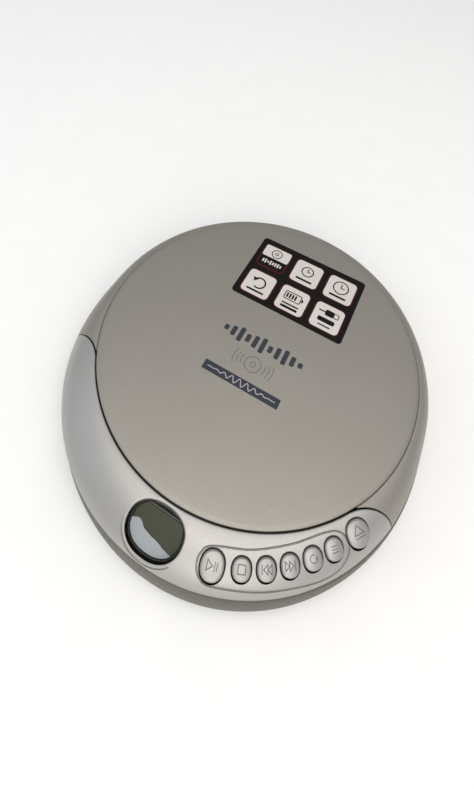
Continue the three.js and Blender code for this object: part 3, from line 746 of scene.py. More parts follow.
def base_shell():
    body = lathe(BASE_PROFILE + BASE_HOLLOW, 240, reach=casing_reach)
    post = [(0, 2, 0), (4.6, 2, 0), (4.6, 4, 0.3), (3, 4, 0.3), (3, 8, 0.3), (0, 8, 0)]
    posts = [lathe(post, 32, x, y) for x, y in BOSSES]
    screw_ways = [joined(rod(2.6, 0, 2.3, x, y), rod(1.3, 2.5, 9, x, y)) for x, y in BOSSES]
    seats = [rod(4.8, 0, 1.9, *node_middle(f"foot_{i}")[:2]) for i in range(1, 5)]
    body = cut(
        added(body, *posts),
        box(-HINGE_HALF, HINGE_HALF, 62, 76, 13.4, 20, 0.5),
        door_shape(0.25),
        *screw_ways, *seats,
        prism(rounded_box(-27, 27, -36, -14, 1.5), 0, FLOOR_Z + 0.25),
        radial_rod(3.4, 60, 80, JACK["z"], JACK["angle"]),
        wall_slot(10.4, 6.6, 11.6, POWER_ANGLE),
        wall_slot(16.4, VOLUME["low"] - 0.5, VOLUME["high"] + 0.5, VOLUME["angle"]),
        wall_slot(9, HOLD["z"] - 1.4, HOLD["z"] + 1.4, HOLD["angle"]),
    )
    return with_knuckles(body, 6.0, 9.0, -1.2, 0.9, 10, HINGE_Z)


def battery_door():
    body = kept(door_shape(0), base_outside())
    grips = [prism(rounded_box(x - 0.9, x + 0.9, 42, 54, 0.85), 0, FLOOR_Z + 0.5) for x in (-6, -2, 2, 6)]
    arrow = stroke([(-4, 58), (0, 61), (4, 58)], 0.9, lambda x, y: FLOOR_Z, 0.35, -0.6)
    return cut(body, *grips, arrow)


# ---- Front band ----

def band_section(angle):
    """Closed outline of the front band in one direction, as (radius, height)."""
    outer = outline(angle)
    inner = min(tongue_edge(angle, 0) if abs(angle) > TONGUE_ANGLE else SEAM_R, outer - 0.02)
    wide = outer - inner
    thick = min(1.6, 0.4 * wide)
    edge = min(0.45, 0.2 * wide)

    def height(radius):
        return shoulder((radius - SEAM_R) / (outer - SEAM_R))

    foot = max(PART_Z, min(BAND_FOOT_Z, height(inner) - 1.2 * thick))
    points = [(inner + thick, foot), (inner, foot)]
    for inward, down in quarter(edge, 6):
        radius = inner + inward
        points.append((radius, max(height(radius) - down, foot)))
    for k in range(1, 40):
        radius = inner + edge + (wide - edge) * (k / 40) ** 0.8
        points.append((radius, height(radius)))
    points += [(outer - 0.12, PART_Z + 0.02), (outer - 0.4, PART_Z), (outer - thick, PART_Z)]
    for k in range(9):
        radius = outer - thick - (wide - 2 * thick) * k / 8
        points.append((radius, max(PART_Z + 0.01 * k, height(radius) - 1.05 * thick)))
    return points


def on_band(loop, angle, radius, tilt):
    """Moves an outline drawn about its own middle to where it lies on the band, seen from above."""
    matrix = leaning(angle, radius, 0, 0)
    squeeze = cos(radians(tilt))
    return [tuple((matrix @ Vector((x, y * squeeze, 0)))[:2]) for x, y in loop]


def hole_cutter(loops, fillet=0.18):
    """A cutter with flared edges that follow the band; loops(grow) is its outline grown by grow."""
    levels = [(fillet + 0.25, 3.0), (fillet, 0.05)]
    levels += [(grow, -depth) for depth, grow in quarter(fillet, 4)[1:]]
    levels.append((0.0, -6.0))
    return loft([
        [(x, y, band_height(x, y) + depth) for x, y in loops(grow)] for grow, depth in levels
    ])


def kidney():
    """The long rounded outline engraved around the six round keys."""
    inner = [(68.0, 14.4), (67.0, 24.4), (65.7, 34.9), (64.8, 44.5)]
    right = [(66.0, 48.6), (69.2, 50.0), (72.3, 48.9)]
    outer = [(74.6, 45.2), (75.5, 38.0), (76.3, 26.9), (76.8, 16.4)]
    left = [(75.8, 13.1), (73.2, 11.8), (70.3, 12.05)]
    knots = [Vector(polar(radians(angle), radius)) for radius, angle in inner + right + outer + left]
    points = []
    for i in range(len(knots)):
        a, b, c, d = (knots[(i + k - 1) % len(knots)] for k in range(4))
        bend, twist = 2 * a - 5 * b + 4 * c - d, 3 * b - a - 3 * c + d
        for t in (k / 7 for k in range(7)):
            points.append(tuple(0.5 * (2 * b + (c - a) * t + bend * t * t + twist * t ** 3)))
    return points


def window_shape(grow):
    return superellipse(WINDOW["wide"] + grow, WINDOW["high"] + grow, WINDOW_POWER, 96)


def window_loop(grow):
    return on_band(window_shape(grow), WINDOW["angle"], WINDOW["radius"], WINDOW["tilt"])


def key_loop(name, grow):
    angle, radius, wide, high = KEYS[name]
    grow += KEY_GAP
    return on_band(superellipse(wide + grow, high + grow, KEY_POWER), angle, radius, KEY_TILT)


def front_band():
    end = angle_where(lambda a: tongue_edge(a, 0) < outline(a) - 0.05, TONGUE_ANGLE, TONGUE_ANGLE + 0.2)
    steps = 420
    loops = []
    for i in range(steps + 1):
        angle = end * sin(pi / 2 * (2 * i / steps - 1))
        loops.append([(*polar(angle, radius), height) for radius, height in band_section(angle)])
    body = loft(loops)
    cutters = [hole_cutter(lambda grow, name=name: key_loop(name, grow)) for name in KEYS]
    cutters.append(hole_cutter(window_loop, 0.4))
    around_left = window_loop(1.0)[51:87]
    grooves = [
        stroke(kidney(), 0.85, band_height, 0.3, -0.62, closed=True, narrow=0.12),
        stroke(around_left, 0.45, band_height, 0.3, -0.3, narrow=0.4),
    ]
    return cut(body, *cutters, *grooves)


# ---- Lid ----

def lid_plate():
    dome = [(r, lid_height(r, 0), 0) for r in (0, 15, 30, 45, 58)]
    profile = dome + [
        (61.2, lid_height(61.2, 0) - 0.12, 0.5), (LID_R, 25.85, 0.25),
        (LID_R, RIM_Z + 0.4, 0.2), (59.9, RIM_Z + 0.4, 0.2), (59.9, 24.4, 0.3), (50, 25.0, 2), (0, 25.3, 0),
    ]
    return lathe(profile, 288)


def ring_section(angle):
    """Closed outline of the lid's rounded rear shoulder in one direction."""
    rim = outline(angle)
    end = min(rim, max(tongue_edge(angle, TONGUE_GAP), SEAM_R + 0.1))
    wide = end - SEAM_R
    edge = min(0.4, 0.3 * wide)

    def height(radius):
        return shoulder((radius - SEAM_R) / (rim - SEAM_R))

    points = [(61.3, 24.0), (61.3, 25.0), (62.35, 25.05), (62.5, 25.12), (62.62, 25.3)]
    for k in range(35):
        radius = SEAM_R + (wide - edge) * (k / 34) ** 0.85
        points.append((radius, height(radius)))
    tip = max(height(end), PART_Z)
    for down, inward in quarter(edge, 5)[1:]:
        radius = end - inward
        points.append((radius, max(min(height(radius), height(end - edge)) - down, PART_Z)))
    thick = min(1.6, 0.7 * wide + 0.05)
    if tip - thick > PART_Z + 0.3:
        points.append((end, tip - thick))
    else:
        points[-1] = (end - 0.1, PART_Z + 0.02)
        points.append((end - 0.45, PART_Z))
    for k in range(9):
        radius = end - thick - (end - thick - 62.4) * k / 8
        points.append((radius, max(PART_Z + 0.01 * k, height(radius) - 1.05 * 1.6)))
    return points


def lid_cover():
    start = angle_where(
        lambda a: tongue_edge(a, TONGUE_GAP) < SEAM_R + 0.1, TONGUE_ANGLE, TONGUE_ANGLE + 0.1)
    finish = angle_where(lambda a: tongue_edge(a, TONGUE_GAP) < outline(a), TONGUE_ANGLE, TONGUE_ANGLE + 0.2)
    tongue = [start + (finish - start) * sin(pi / 2 * i / 40) for i in range(40)]
    rear = [finish + (2 * pi - 2 * finish) * i / 300 for i in range(301)]
    angles = tongue + rear + [2 * pi - angle for angle in reversed(tongue)]

    def loop(angle):
        turn = angle if angle <= pi else angle - 2 * pi
        return [(*polar(angle, radius), height) for radius, height in ring_section(turn)]

    ring = loft([loop(angle) for angle in angles])
    notch = box(-HINGE_HALF, HINGE_HALF, 64, 74, 10, 18.9, 0.6)
    body = cut(added(lid_plate(), ring), notch)
    return with_knuckles(body, 9.4, 14, -1.8, -0.3, HINGE_Z, 19.1)


def lid_liner():
    return lathe([
        (0, 24.3, 0), (9, 24.3, 0.5), (9.4, 24.0, 0.3), (11.6, 24.0, 0.3), (12, 23.8, 0.2),
        (14, 23.8, 0.3), (14.3, 24.3, 0.3), (50, 24.1, 0.5), (54, 24.0, 0.3), (54, 24.5, 0.2),
        (0, 24.9, 0),
    ], 160)


# ---- Printing on the lid ----

LABEL = (-21.8, 28.0, 15.4, 49.8)        # left, right, front and back
INK = 0.03                               # how far printing stands above what it is printed on
LABEL_LIFT = 0.12                        # the label's top above the lid


def on_label(x, y):
    return lid_height(x, y) + LABEL_LIFT


def flat(loop, height=lid_height, lift=INK, rings=2):
    return blanket(loop, height, lift, 0.05, rings)


def line(path, width, height=lid_height, closed=False, lift=INK):
    return stroke(path, width, height, lift, -0.02, closed)


def strip(x, y, wide, high, **where):
    corner = 0.3 * min(wide, high)
    return flat(rounded_box(x - wide / 2, x + wide / 2, y - high / 2, y + high / 2, corner, 3), **where)


def label_line(path, width, closed=False):
    return line(path, width, on_label, closed, 2 * INK)


def label_strip(x, y, wide, high):
    return strip(x, y, wide, high, height=on_label, lift=2 * INK)


def tile_places():
    """Middles of the label's six tiles, in two rows of three."""
    left, right, front, back = LABEL
    wide = (right - left) / 3
    return [
        (left + wide * (column + 0.5) + (1 - column) * 0.7, front + (back - front) * row)
        for row in (0.725, 0.255) for column in range(3)
    ]


def icon_disc(x, y):
    return [
        label_line(arc(x, y + 2.8, 2.3, 0, 345, 36), 0.4, True),
        label_line(arc(x, y + 2.8, 0.7, 0, 345, 20), 0.35, True),
    ]


def icon_clock(x, y, size):
    middle = y + 1.2
    return [
        label_line(arc(x, middle, size, 0, 350, 36), 0.5, True),
        label_line([(x, middle + size * 0.62), (x, middle), (x + size * 0.5, middle)], 0.45),
        label_strip(x, y - 3.9, 7.5, 1.0),
    ]


def icon_return(x, y):
    head = [(x - 3.6, y + 2.6), (x - 2.6, y + 0.4), (x - 0.9, y + 2.4)]
    return [
        label_line(arc(x, y + 0.4, 2.7, 150, -120, 30), 0.7),
        flat(head, on_label, 2 * INK),
        label_strip(x, y - 4.1, 8, 0.9),
    ]


def icon_battery(x, y):
    return [
        label_line(rounded_box(x - 4, x + 3.2, y - 0.4, y + 3.6, 0.6), 0.4, True),
        *[label_strip(x - 2.9 + 1.25 * k, y + 1.6, 0.75, 2.6) for k in range(4)],
        label_strip(x + 3.9, y + 1.6, 0.7, 1.7),
        label_strip(x, y - 2.6, 7.6, 0.7),
        label_strip(x, y - 4.3, 7.6, 1.2),
    ]


def icon_plug(x, y):
    return [
        flat(rounded_box(x - 1.6, x + 2.2, y + 0.9, y + 3.9, 0.7), on_label, 2 * INK),
        label_line([(x - 1.6, y + 2.4), (x - 4.4, y + 2.4)], 0.6),
        label_line(rounded_box(x + 2.2, x + 4.2, y + 1.3, y + 3.5, 0.2, 2), 0.35, True),
        label_strip(x, y - 1.6, 7.4, 2.2),
        label_strip(x, y - 4.3, 5.4, 0.6),
    ]


def label_pieces():
    left, right, front, back = LABEL
    sheet = blanket(rounded_box(left, right, front, back, 1.6, 8), lid_height, LABEL_LIFT, 0.12, 12)
    piece(sheet, "lid_label_sheet", "lid", LABEL_BLACK, "lid_label")
    places = tile_places()
    half, inset = 6.4, 0.15
    tiles, borders = [], []
    for number, (x, y) in enumerate(places):
        border = rounded_box(x - half, x + half, y - half, y + half, 2.0)
        borders.append(line(border, 0.9, on_label, True, 0.8 * INK))
        low, corner = (y - half + inset, 1.8) if number else (y - 0.3, 0.9)
        tile = rounded_box(x - half + inset, x + half - inset, low, y + half - inset, corner)
        tiles.append(flat(tile, on_label))
    x, y = places[0]
    waves = [
        strip(x - 4.2 + 1.2 * k, y - 3.1, 0.75, 1.0 + 1.5 * abs(sin(1.3 * k + 0.6)), height=on_label)
        for k in range(8)
    ]
    marks = [
        *icon_disc(*places[0]), *icon_clock(*places[1], 2.6), *icon_clock(*places[2], 3.3),
        *icon_return(*places[3]), *icon_battery(*places[4]), *icon_plug(*places[5]),
    ]
    piece(joined(*borders), "lid_label_borders", "lid", LABEL_RED)
    piece(joined(*tiles, *waves), "lid_label_tiles", "lid", LABEL_PALE)
    piece(joined(*marks), "lid_label_pictograms", "lid", LABEL_BLACK)


def lid_marks():
    heights = [2.4, 4.4, 6.4, 3.6, 5.4, 6.8, 3.0, 5.0, 6.4, 4.2, 2.2]
    bars = [strip(1.5 + 3.2 * (k - 5), -1.0, 1.9, high) for k, high in enumerate(heights)]
    piece(joined(*bars), "lid_mark_level_bars", "lid", SLATE_INK)
    x, y = 1.6, -9.9
    rings = [line(arc(x, y, 3.2, 0, 350, 48), 0.22, closed=True)]
    rings.append(line(arc(x, y, 1.0, 0, 345, 24), 0.22, closed=True))
    for side in (0, 180):
        for radius in (4.9, 6.5, 8.1):
            rings.append(line(arc(x, y, radius, side - 22, side + 22, 12), 0.22))
    piece(joined(*rings), "lid_mark_disc", "lid", THIN_INK)
    left, right, middle, half = -14.65, 16.65, -18.7, 1.95
    band = flat(rounded_box(left, right, middle - half, middle + half, 0.15, 2), rings=6)
    piece(band, "lid_mark_band", "lid", SLATE_INK)
    margin, swing, waves = 1.6, 1.25, 9
    path = []
    for k in range(121):
        share = k / 120
        rise = swing * sin(pi * share) ** 2 * sin(share * 2 * pi * waves)
        path.append((left + margin + (right - left - 2 * margin) * share, middle + rise))
    piece(line(path, 0.32, lift=2 * INK), "lid_mark_wave", "lid", PALE_INK)


# ---- Keys ----

def crown(wide, high):
    """Height of a key's top about its own middle."""
    a, b = wide - KEY_ROLL, high - KEY_ROLL

    def height(x, y):
        share = min(1.0, (abs(x / a) ** KEY_POWER + abs(y / b) ** KEY_POWER) ** (1 / KEY_POWER))
        return KEY_PROUD - KEY_SAG * share * share

    return height


def key_symbols(name):
    """Engraved outlines as (path, closed), within about a millimetre and a half of the middle."""
    def triangle(x, wide, high, flip=1):
        return [(x, -high), (x + flip * wide, 0), (x, high)]

    return {
        "play": [(triangle(-1.6, 1.7, 1.35), True), ([(0.75, -1.2), (0.75, 1.2)], False),
                 ([(1.45, -1.2), (1.45, 1.2)], False)],
        "stop": [([(-1.1, -1.1), (1.1, -1.1), (1.1, 1.2), (-1.1, 1.2)], True)],
        "skip_back": [(triangle(1.6, 1.25, 1.2, -1), True), (triangle(0.3, 1.25, 1.2, -1), True),
                      ([(-1.4, -1.2), (-1.4, 1.2)], False)],
        "skip_forward": [(triangle(-1.6, 1.25, 1.2), True), (triangle(-0.3, 1.25, 1.2), True),
                         ([(1.4, -1.2), (1.4, 1.2)], False)],
        "program": [(arc(0, 0, 1.05, 60, 360, 20), False), ([(1.05, 0.5), (1.05, -0.1), (0.5, 0.1)], False)],
        "mode": [([(-1.0, 0.8), (1.0, 0.8)], False), ([(-1.0, 0), (0.6, 0)], False),
                 ([(-1.0, -0.8), (1.0, -0.8)], False)],
        "open": [([(-1.7, -0.2), (0, 2.2), (1.7, -0.2)], True), ([(-1.7, -1.1), (1.7, -1.1)], False)],
    }[name]


def finer(path, closed):
    """The same path with points close enough to follow a curved surface, but none near its corners."""
    ends = path[1:] + path[:1] if closed else path[1:]
    points = []
    for start, end in zip(path, ends):
        a, b = Vector(start), Vector(end)
        steps = max(1, int((b - a).length / 0.4))
        points += [tuple(a.lerp(b, k / steps)) for k in range(steps)]
    return points if closed else points + [path[-1]]


def key_cap(name):
    angle, radius, wide, high = KEYS[name]
    levels = [(wide, high, -3.0)]
    for inward, down in quarter(KEY_ROLL, 6):
        levels.append((wide - inward, high - inward, KEY_PROUD - KEY_SAG - down))
    for k in range(1, 8):
        share = 1 - k / 8
        across, along = (wide - KEY_ROLL) * share, (high - KEY_ROLL) * share
        levels.append((across, along, KEY_PROUD - KEY_SAG * share * share))
    cap = loft([[(x, y, z) for x, y in superellipse(a, b, KEY_POWER)] for a, b, z in levels])
    height = crown(wide, high)
    paths = [(finer(path, closed), closed) for path, closed in key_symbols(name)]
    cut(cap, *[stroke(path, 0.34, height, 0.3, -0.2, closed, 0.5) for path, closed in paths])
    band_z = band_height(*polar(radians(angle), radius))
    foot = (low_high(f"{name}_button")[0].z - band_z) / cos(radians(KEY_TILT)) + 0.6
    stem = rod(1.2, foot, -2.5)
    place = leaning(angle, radius, band_z, KEY_TILT)
    body = f"{name}_key"
    piece(moved(joined(cap, stem), place), f"{name}_key_cap", body, KEY_PAINT, f"{name}_button")
    # A dark strip of painted shade in the bottom of each engraved groove
    shade = joined(*[stroke(path, 0.2, height, -0.13, -0.22, closed) for path, closed in paths])
    piece(moved(shade, place), f"{name}_key_symbol", body, SYMBOL_SHADE)


# ---- Display ----

def window_parts():
    lean = leaning(WINDOW["angle"], WINDOW["radius"], WINDOW["z"], WINDOW["tilt"])

    def loop(inset, z):
        return [(x, y, z) for x, y in window_shape(-inset)]

    def within(shape, inset):
        return kept(shape, prism(window_shape(-inset), -8, 0))

    def fitted(made, name, finish, *nodes):
        piece(moved(made, lean), name, "root", finish, *nodes)

    pane = loft([loop(0.55, -2.0), loop(0.4, -1.85), loop(0.4, -1.15), loop(0.7, -0.9), loop(3, -0.84)])
    fitted(pane, "display_pane", CLEAR, "display_window")
    surround = loft([loop(0.3, -3.6), loop(0.3, -2.1), loop(0.75, -2.1), loop(0.95, -3.6)], ring=True)
    fitted(surround, "display_surround", DARK_PLASTIC, "display_frame")
    glass = within(box(-9, 9, -7.4, 4.95, -4.2, -2.5, 0.15), 1.05)
    back = box(-8.4, 8.4, -6.4, 3.8, -6.8, -4.3, 0.1)
    fitted(joined(glass, back), "display_cell", LCD, "display_module")
    torn = [
        (-8.9, -1.3), (-8.3, -0.75), (-6.9, -0.1), (-6.0, 0.0), (-5.1, -0.37), (-4.3, -1.1),
        (-3.2, -1.74), (-2.1, -1.95), (-0.6, -2.35), (0.9, -2.45), (3.0, -2.87), (4.1, -3.3),
        (5.3, -3.43), (6.7, -3.75), (9.0, -3.7),
    ]
    film = within(prism(torn + [(9.0, -8.0), (-8.9, -8.0)], -2.3, -2.2), 1.0)
    fitted(film, "display_protective_film", FILM)
    fitted(within(box(-8.6, 8.6, 5.15, 5.45, -3.2, -2.6, 0.1), 1.0), "display_bezel_strip", BEZEL_PLASTIC)


# ---- Disc well and drive ----

DAMPERS = [(16, 16.5), (16, -17), (-54, 19.5)]
RAIL_Y, RAIL_Z = 11, 10.5
LENS_X = -24
FEED_AXIS = (-30, -19.2)
PINION_AXIS = (-21.3, -24.0)
HOOK_ANGLE = 54


def disc_deck():
    low, top = DECK_TOP - 1.2, DECK_TOP
    body = lathe([
        (0, low, 0), (66.2, low, 0.2), (66.2, top, 0.3), (62.2, top, 0.4), (62.2, RIM_Z, 0.4),
        (WELL_R, RIM_Z, 0.4), (WELL_R, top, 1.4), (57.4, top, 0.2), (57.2, top - 0.35, 0.2),
        (56.2, top - 0.35, 0.2), (56.0, top, 0.2), (19.6, top, 0.3), (19.0, top - 0.45, 0.3),
        (0, top - 0.45, 0),
    ], 240)
    posts = [rod(3.2, 8.3, low + 0.4, x, y, edge=0.3) for x, y in BOSSES]
    posts += [rod(2.0, 12.6, low + 0.4, x, y, edge=0.2) for x, y in DAMPERS]
    slot = prism(rounded_box(-59.5, 0, -5.5, 5.5, 2.4, 8), 16, 22)
    ways = [
        lathe([(0, 10, 0), (14.6, 10, 0), (14.6, top - 0.9, 0), (15.2, 24, 0), (0, 24, 0)], 120),
        slot, box(-HINGE_HALF, HINGE_HALF, 64.4, 70, 17, 24, 0.5),
        around(box(-4.2, 4.2, -63.8, -60.2, 12, 24, 0.4), HOOK_ANGLE),
        around(box(-5.4, 5.4, -70, -62.4, 17, 20), HOOK_ANGLE),
        box(-11, 11, -70, -62.5, 17, 20),
        around(rod(1.5, 17, 24, 0, -58.6), 30),
    ]
    ways += [rod(1.25, 0, 17.4, x, y) for x, y in BOSSES] + [rod(1.15, 0, 17.4, x, y) for x, y in DAMPERS]
    dimples = [rod(0.9, top - 0.3, 24, *polar(radians(turn), 48)) for turn in (35, 145, 215, 325)]
    return cut(added(body, *posts), *ways, *dimples)


def ball(radius, x, y, z, steps=12):
    turns = [pi * k / steps for k in range(steps + 1)]
    profile = [(radius * sin(t) if 0 < k < steps else 0, z - radius * cos(t))
               for k, t in enumerate(turns)]
    return turned(profile, 24, x, y)


def turntable_pieces():
    body = lathe([
        (0, 8.2, 0), (0.75, 8.2, 0.1), (0.75, 14.4, 0), (2.2, 14.4, 0.2), (2.2, 19.2, 0.3),
        (13.6, 19.2, 0.3), (14.0, 19.6, 0.2), (14.0, 20.75, 0.3), (12.9, 20.75, 0.1), (12.9, 20.5, 0.1),
        (9.1, 20.5, 0.1), (9.1, 20.75, 0.1), (7.5, 20.75, 0.3), (7.3, 22.4, 0.5), (6.4, 23.3, 0.7),
        (3.4, 23.4, 0.2), (3.1, 22.9, 0.2), (0, 22.9, 0),
    ], 144)
    slits = [around(box(-0.25, 0.25, -7.7, -4.9, 21.2, 24), turn) for turn in range(60, 420, 120)]
    pockets = [around(box(-1.25, 1.25, -8.2, -5.0, 21.0, 23.05, 0.2), turn) for turn in (0, 120, 240)]
    piece(cut(body, *slits, *pockets), "hub_and_platter", "disc_table", DARK_PLASTIC, "turntable")
    pad = lathe([(9.2, 20.4, 0), (12.8, 20.4, 0), (12.8, 20.9, 0.15), (9.2, 20.9, 0.15)], 120)
    piece(pad, "platter_pad", "disc_table", RUBBER)
    balls = joined(*[ball(1.1, *polar(radians(turn), 6.75), 22.0) for turn in (0, 120, 240)])
    piece(balls, "hub_balls", "disc_table", STEEL)
    cap = lathe([(0, 22.8, 0), (2.9, 22.8, 0), (2.9, 23.15, 0.2), (0, 23.2, 0)], 60)
    piece(cap, "hub_cap", "disc_table", STEEL)


def lens_pieces():
    holder = [(1.75, 15.6, 0), (2.5, 15.6, 0.1), (2.5, 18.3, 0.3), (1.75, 18.5, 0.2)]
    piece(lathe(holder, 60, LENS_X), "lens_holder", "lens", DARK_PLASTIC)
    glass = [(0, 16.2, 0), (1.8, 16.2, 0), (1.8, 18.2, 0.1), (1.2, 18.9, 0.5), (0, 19.1, 0)]
    glass = turned(rounded(glass, steps=8), 60, LENS_X)
    piece(glass, "lens_glass", "lens", LENS_GLASS, "objective_lens")


def pickup_piece():
    body = box(LENS_X - 6.5, LENS_X + 6.5, -13, 13, 8.7, 16.6, 0.5)
    wells = [box(LENS_X - 3.6, LENS_X + 3.6, y - 4, y + 4, 7, 18) for y in (-10, 10)]
    turret = prism(rounded_box(LENS_X - 4.4, LENS_X + 4.4, -4.6, 4.6, 1.2), 16, 19.0, 0.35)
    arm = box(LENS_X - 6.5, 2, -15.6, -12.6, 9.4, 11.4, 0.2)
    rack = [box(-29.7 + 1.2 * k, -29.1 + 1.2 * k, -16, -15.1, 9.0, 11.8) for k in range(26)]
    bores = [bar(1.3, -40, -10, y, RAIL_Z) for y in (-RAIL_Y, RAIL_Y)]
    made = added(cut(body, *wells), turret, arm)
    made = cut(made, rod(2.9, 14, 22, LENS_X, 0), *bores, *rack)
    piece(made, "pickup_carriage", "pickup", DARK_PLASTIC, "pickup_sled")
    wires = [bar(0.12, LENS_X - 4.2, LENS_X + 4.2, y, z) for y in (-3.9, 3.9) for z in (19.05, 19.2)]
    piece(joined(*wires), "lens_suspension_wires", "pickup", COPPER)


def coil(radius, wire, bottom, top, turns, end_radius=None):
    """A helical spring along Z; its radius may change to end_radius."""
    loops = []
    count = turns * 20
    for i in range(count + 1):
        share = i / count
        turn = 2 * pi * turns * share
        middle = radius + ((end_radius or radius) - radius) * share
        height = bottom + wire + (top - bottom - 2 * wire) * share
        loop = []
        for k in range(8):
            a = 2 * pi * k / 8
            out = middle + wire * cos(a)
            loop.append((out * cos(turn), out * sin(turn), height + wire * sin(a)))
        loops.append(loop)
    return loft(loops)


def spring_pieces():
    lid = moved(coil(1.7, 0.26, -4.6, 4.6, 14), shift(0, HINGE_Y, HINGE_Z) @ rotation(90, "Y"))
    piece(lid, "lid_return_coil", "root", SPRING_STEEL, "lid_spring")
    x, y, z = node_middle("latch_spring")
    latch = moved(coil(1.2, 0.18, 0, 3.2, 5), shift(0, 1.6 - hypot(x, y), z) @ rotation(90, "X"))
    piece(around(latch, HOOK_ANGLE), "latch_coil", "root", SPRING_STEEL, "latch_spring")
    for name, side, y, front, back in (
        ("battery_contact_negative", 1, 35, 30, 40), ("battery_contact_bridge", -1, 50, 28.5, 56.5),
    ):
        plate_x = side * 28.4
        plate = box(plate_x - 0.25, plate_x + 0.25, front, back, 4.5, 15.5, 0.15)
        cone = moved(coil(2.9, 0.3, 0, 3.9, 4, 1.6), shift(side * 28.2, y, 10) @ rotation(-90 * side, "Y"))
        piece(joined(plate, cone), f"{name}_coil", "root", SPRING_STEEL, name)


def toothed(radius, teeth, depth, bottom, top, bore, x, y):
    """A spur gear with rounded teeth and chamfered faces."""
    points = []
    for i in range(teeth * 12):
        share = (i % 12) / 12
        rise = min(1.0, max(0.0, 2.2 * (0.5 - abs(share - 0.25) * 2) + 0.5))
        out, turn = radius - depth * (1 - rise), 2 * pi * i / (teeth * 12)
        points.append((x + out * cos(turn), y + out * sin(turn)))
    body = prism(points, bottom, top, 0.12)
    return cut(body, rod(bore, 0, 20, x, y)) if bore else body


def drive_pieces():
    x, y = FEED_AXIS
    wheel = toothed(8, 36, 0.8, 6.6, 8.0, 1.5, x, y)
    turns = [2 * pi * k / 5 for k in range(5)]
    holes = [rod(1.1, 0, 20, x + 4.9 * cos(turn), y + 4.9 * sin(turn)) for turn in turns]
    gears = joined(cut(wheel, *holes), toothed(3, 14, 0.6, 8.05, 11.4, 1.5, x, y))
    piece(gears, "feed_wheel", "feed", WHITE_PLASTIC, "feed_gear")
    x, y = PINION_AXIS
    pinion = joined(toothed(1.6, 10, 0.4, 6.6, 8.35, 0, x, y), rod(0.5, 8.4, 8.95, x, y))
    piece(pinion, "motor_pinion", "pinion", WHITE_PLASTIC, "drive_pinion")
    can = lathe([
        (0.85, 9.0, 0.1), (2.2, 9.0, 0.1), (2.2, 9.25, 0.1), (5.6, 9.25, 0.4), (6, 9.6, 0.4),
        (6, 12.6, 0.3), (0.85, 12.6, 0),
    ], 96, x, y)
    piece(can, "sled_motor_can", "root", STEEL, "sled_motor")
    can = lathe([
        (1.1, 7.6, 0.1), (10.6, 7.6, 0.4), (11, 8.0, 0.4), (11, 12.2, 0.4), (10.6, 12.7, 0.3),
        (3.6, 12.7, 0.2), (3.6, 13.8, 0.2), (1.1, 13.8, 0.1),
    ], 120)
    vents = [around(box(-1.0, 1.0, -9.6, -6.4, 7, 7.9, 0.2), turn) for turn in range(0, 360, 45)]
    piece(cut(can, *vents), "spindle_motor_can", "root", STEEL, "spindle_motor")
    for name, y in (("front", -RAIL_Y), ("rear", RAIL_Y)):
        rail = bar(1.0, -63, -12.2, y, RAIL_Z, 48, 0.2)
        piece(rail, f"{name}_slide_rod", "root", STEEL, f"guide_rail_{name}")
    grommet = [
        (2.35, 11.4, 0.1), (4.6, 11.4, 0.4), (4.6, 12.7, 0.3), (3.4, 12.7, 0.1), (3.4, 14.5, 0.1),
        (4.6, 14.5, 0.3), (4.6, 15.8, 0.4), (2.35, 15.8, 0.1),
    ]
    for i, (x, y) in enumerate(DAMPERS, 1):
        piece(lathe(grommet, 60, x, y), f"suspension_grommet_{i}", "root", RUBBER, f"damper_{i}")
        bolt = screw(x, y, 9.8, 3.4, 11.0, 0.85, 16.8)
        piece(bolt, f"suspension_screw_{i}", "root", STEEL, f"damper_screw_{i}")


def screw(x, y, bottom, head, under, shank, top):
    """A pan-head screw seen from below, with a cross recess; head and shank are radii."""
    made = lathe([
        (0, bottom, 0), (head - 0.1, bottom + 0.05, 0.35), (head, under, 0.1), (shank, under, 0.1),
        (shank, top - 0.4, 0.1), (0, top, 0),
    ], 48, x, y)
    long, thin = head * 0.55, 0.24
    arms = [
        box(x - a, x + a, y - b, y + b, bottom - 1, bottom + 0.45) for a, b in ((long, thin), (thin, long))
    ]
    return cut(made, *arms)


def fixings():
    for i, (x, y) in enumerate(BOSSES, 1):
        bolt = screw(x, y, 1.5, 2.2, 2.0, 0.95, 15.5)
        piece(bolt, f"casing_screw_{i}", "root", STEEL, f"case_screw_{i}")
    foot = [
        (0, 0.12, 0), (2.9, 0.1, 0.1), (3.2, 0, 0.1), (3.9, 0, 0.3), (4.4, 0.5, 0.3), (4.4, 1.6, 0.1),
        (0, 1.6, 0),
    ]
    for i in range(1, 5):
        pad = lathe(foot, 72, *node_middle(f"foot_{i}")[:2])
        piece(pad, f"rubber_foot_{i}", "root", RUBBER, f"foot_{i}")
    piece(bar(0.9, -14, 14, HINGE_Y, HINGE_Z, 48, 0.15), "hinge_rod", "root", STEEL, "hinge_pin")


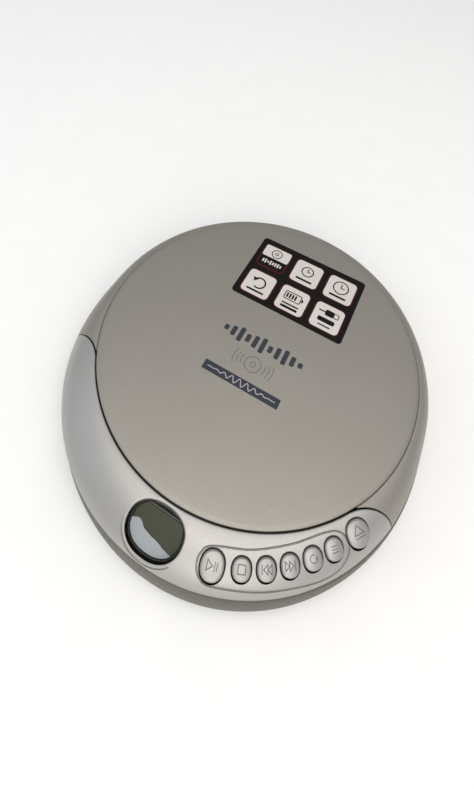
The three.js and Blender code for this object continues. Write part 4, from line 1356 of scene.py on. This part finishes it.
def side_controls():
    def across(radius, inner, outer, edge=0.0):
        return radial_rod(radius, inner, outer, JACK["z"], JACK["angle"], edge)

    body = around(box(-4, 4, -65.2, -54, 6.0, 12.2, 0.3), JACK["angle"])
    socket = cut(added(body, across(3.0, 64, 69.6, 0.35)), across(2.15, 56, 72))
    piece(socket, "headphone_socket_body", "root", DARK_PLASTIC, "headphone_jack")
    lining = cut(across(2.1, 58, 69.5, 0.1), across(1.85, 50, 72))
    piece(lining, "headphone_socket_lining", "root", STEEL)
    x, y = polar(radians(VOLUME["angle"]), VOLUME["radius"])
    knurls = []
    for i in range(480):
        turn = 2 * pi * i / 480
        radius = VOLUME["wheel"] - 0.28 * (0.5 - 0.5 * cos(60 * turn)) ** 2
        knurls.append((x + radius * cos(turn), y + radius * sin(turn)))
    wheel = joined(prism(knurls, VOLUME["low"], VOLUME["high"], 0.25), rod(1.2, 6.5, 7.75, x, y))
    piece(wheel, "volume_thumbwheel", "volume", DARK_PLASTIC, "volume_wheel")
    z = HOLD["z"]
    knob = box(-3, 0, -70.9, -65.4, z - 1.1, z + 1.1, 0.25)
    ribs = [box(left, left + 0.3, -72, -70.6, z - 2, z + 2) for left in (-2.5, -1.95, -1.4, -0.85)]
    plate = box(-5.4, 2.4, -65.4, -63.9, z - 2, z + 2, 0.2)
    slider = around(joined(cut(knob, *ribs), plate), HOLD["angle"])
    piece(slider, "hold_slider", "hold", DARK_PLASTIC, "hold_switch")


# ---- Rest of the frame ----

CAD_LOOKS = {
    "battery_box": (DARK_PLASTIC, 0.5),
    "battery_contact_positive": (STEEL, 0.15),
    "lid_hook": (GREY_PLASTIC, 0.3),
    "key_board": (KEY_BOARD_SHADE, 0.12),
    "main_circuit_board": (BOARD, 0.12),
    "power_socket": (STEEL, 0.12),
    "lid_switch": (DARK_PLASTIC, 0.2),
    "mechanism_chassis": (STEEL, 0.15),
    "latch_slider": (GREY_PLASTIC, 0.25),
    "ribbon_cable": (FLEX_FILM, 0.05),
}                                        # finish, and width of the bevel on its edges


def cad_looks():
    """Gives the parts that are kept from the frame their materials and softer edges."""
    for name, (finish, width) in CAD_LOOKS.items():
        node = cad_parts[name]
        soften(node, width * MM, 2, 40)
        node.data.materials.clear()
        node.data.materials.append(finish[1])


# ---- Build ----

camera()
studio()
piece(base_shell(), "lower_casing", "root", BASE_PLASTIC, "base_shell")
piece(battery_door(), "battery_cover", "door", BASE_PLASTIC, "battery_door")
piece(front_band(), "front_band", "root", BAND_PAINT, "front_fascia")
piece(lid_cover(), "lid_shell", "lid", LID_PAINT, "lid_cover")
piece(lid_liner(), "lid_lining", "lid", GREY_PLASTIC, "lid_liner")
label_pieces()
lid_marks()
for key in KEYS:
    key_cap(key)
window_parts()
piece(disc_deck(), "disc_well", "root", DECK_PLASTIC, "disc_deck")
turntable_pieces()
lens_pieces()
pickup_piece()
spring_pieces()
drive_pieces()
fixings()
side_controls()
cad_looks()
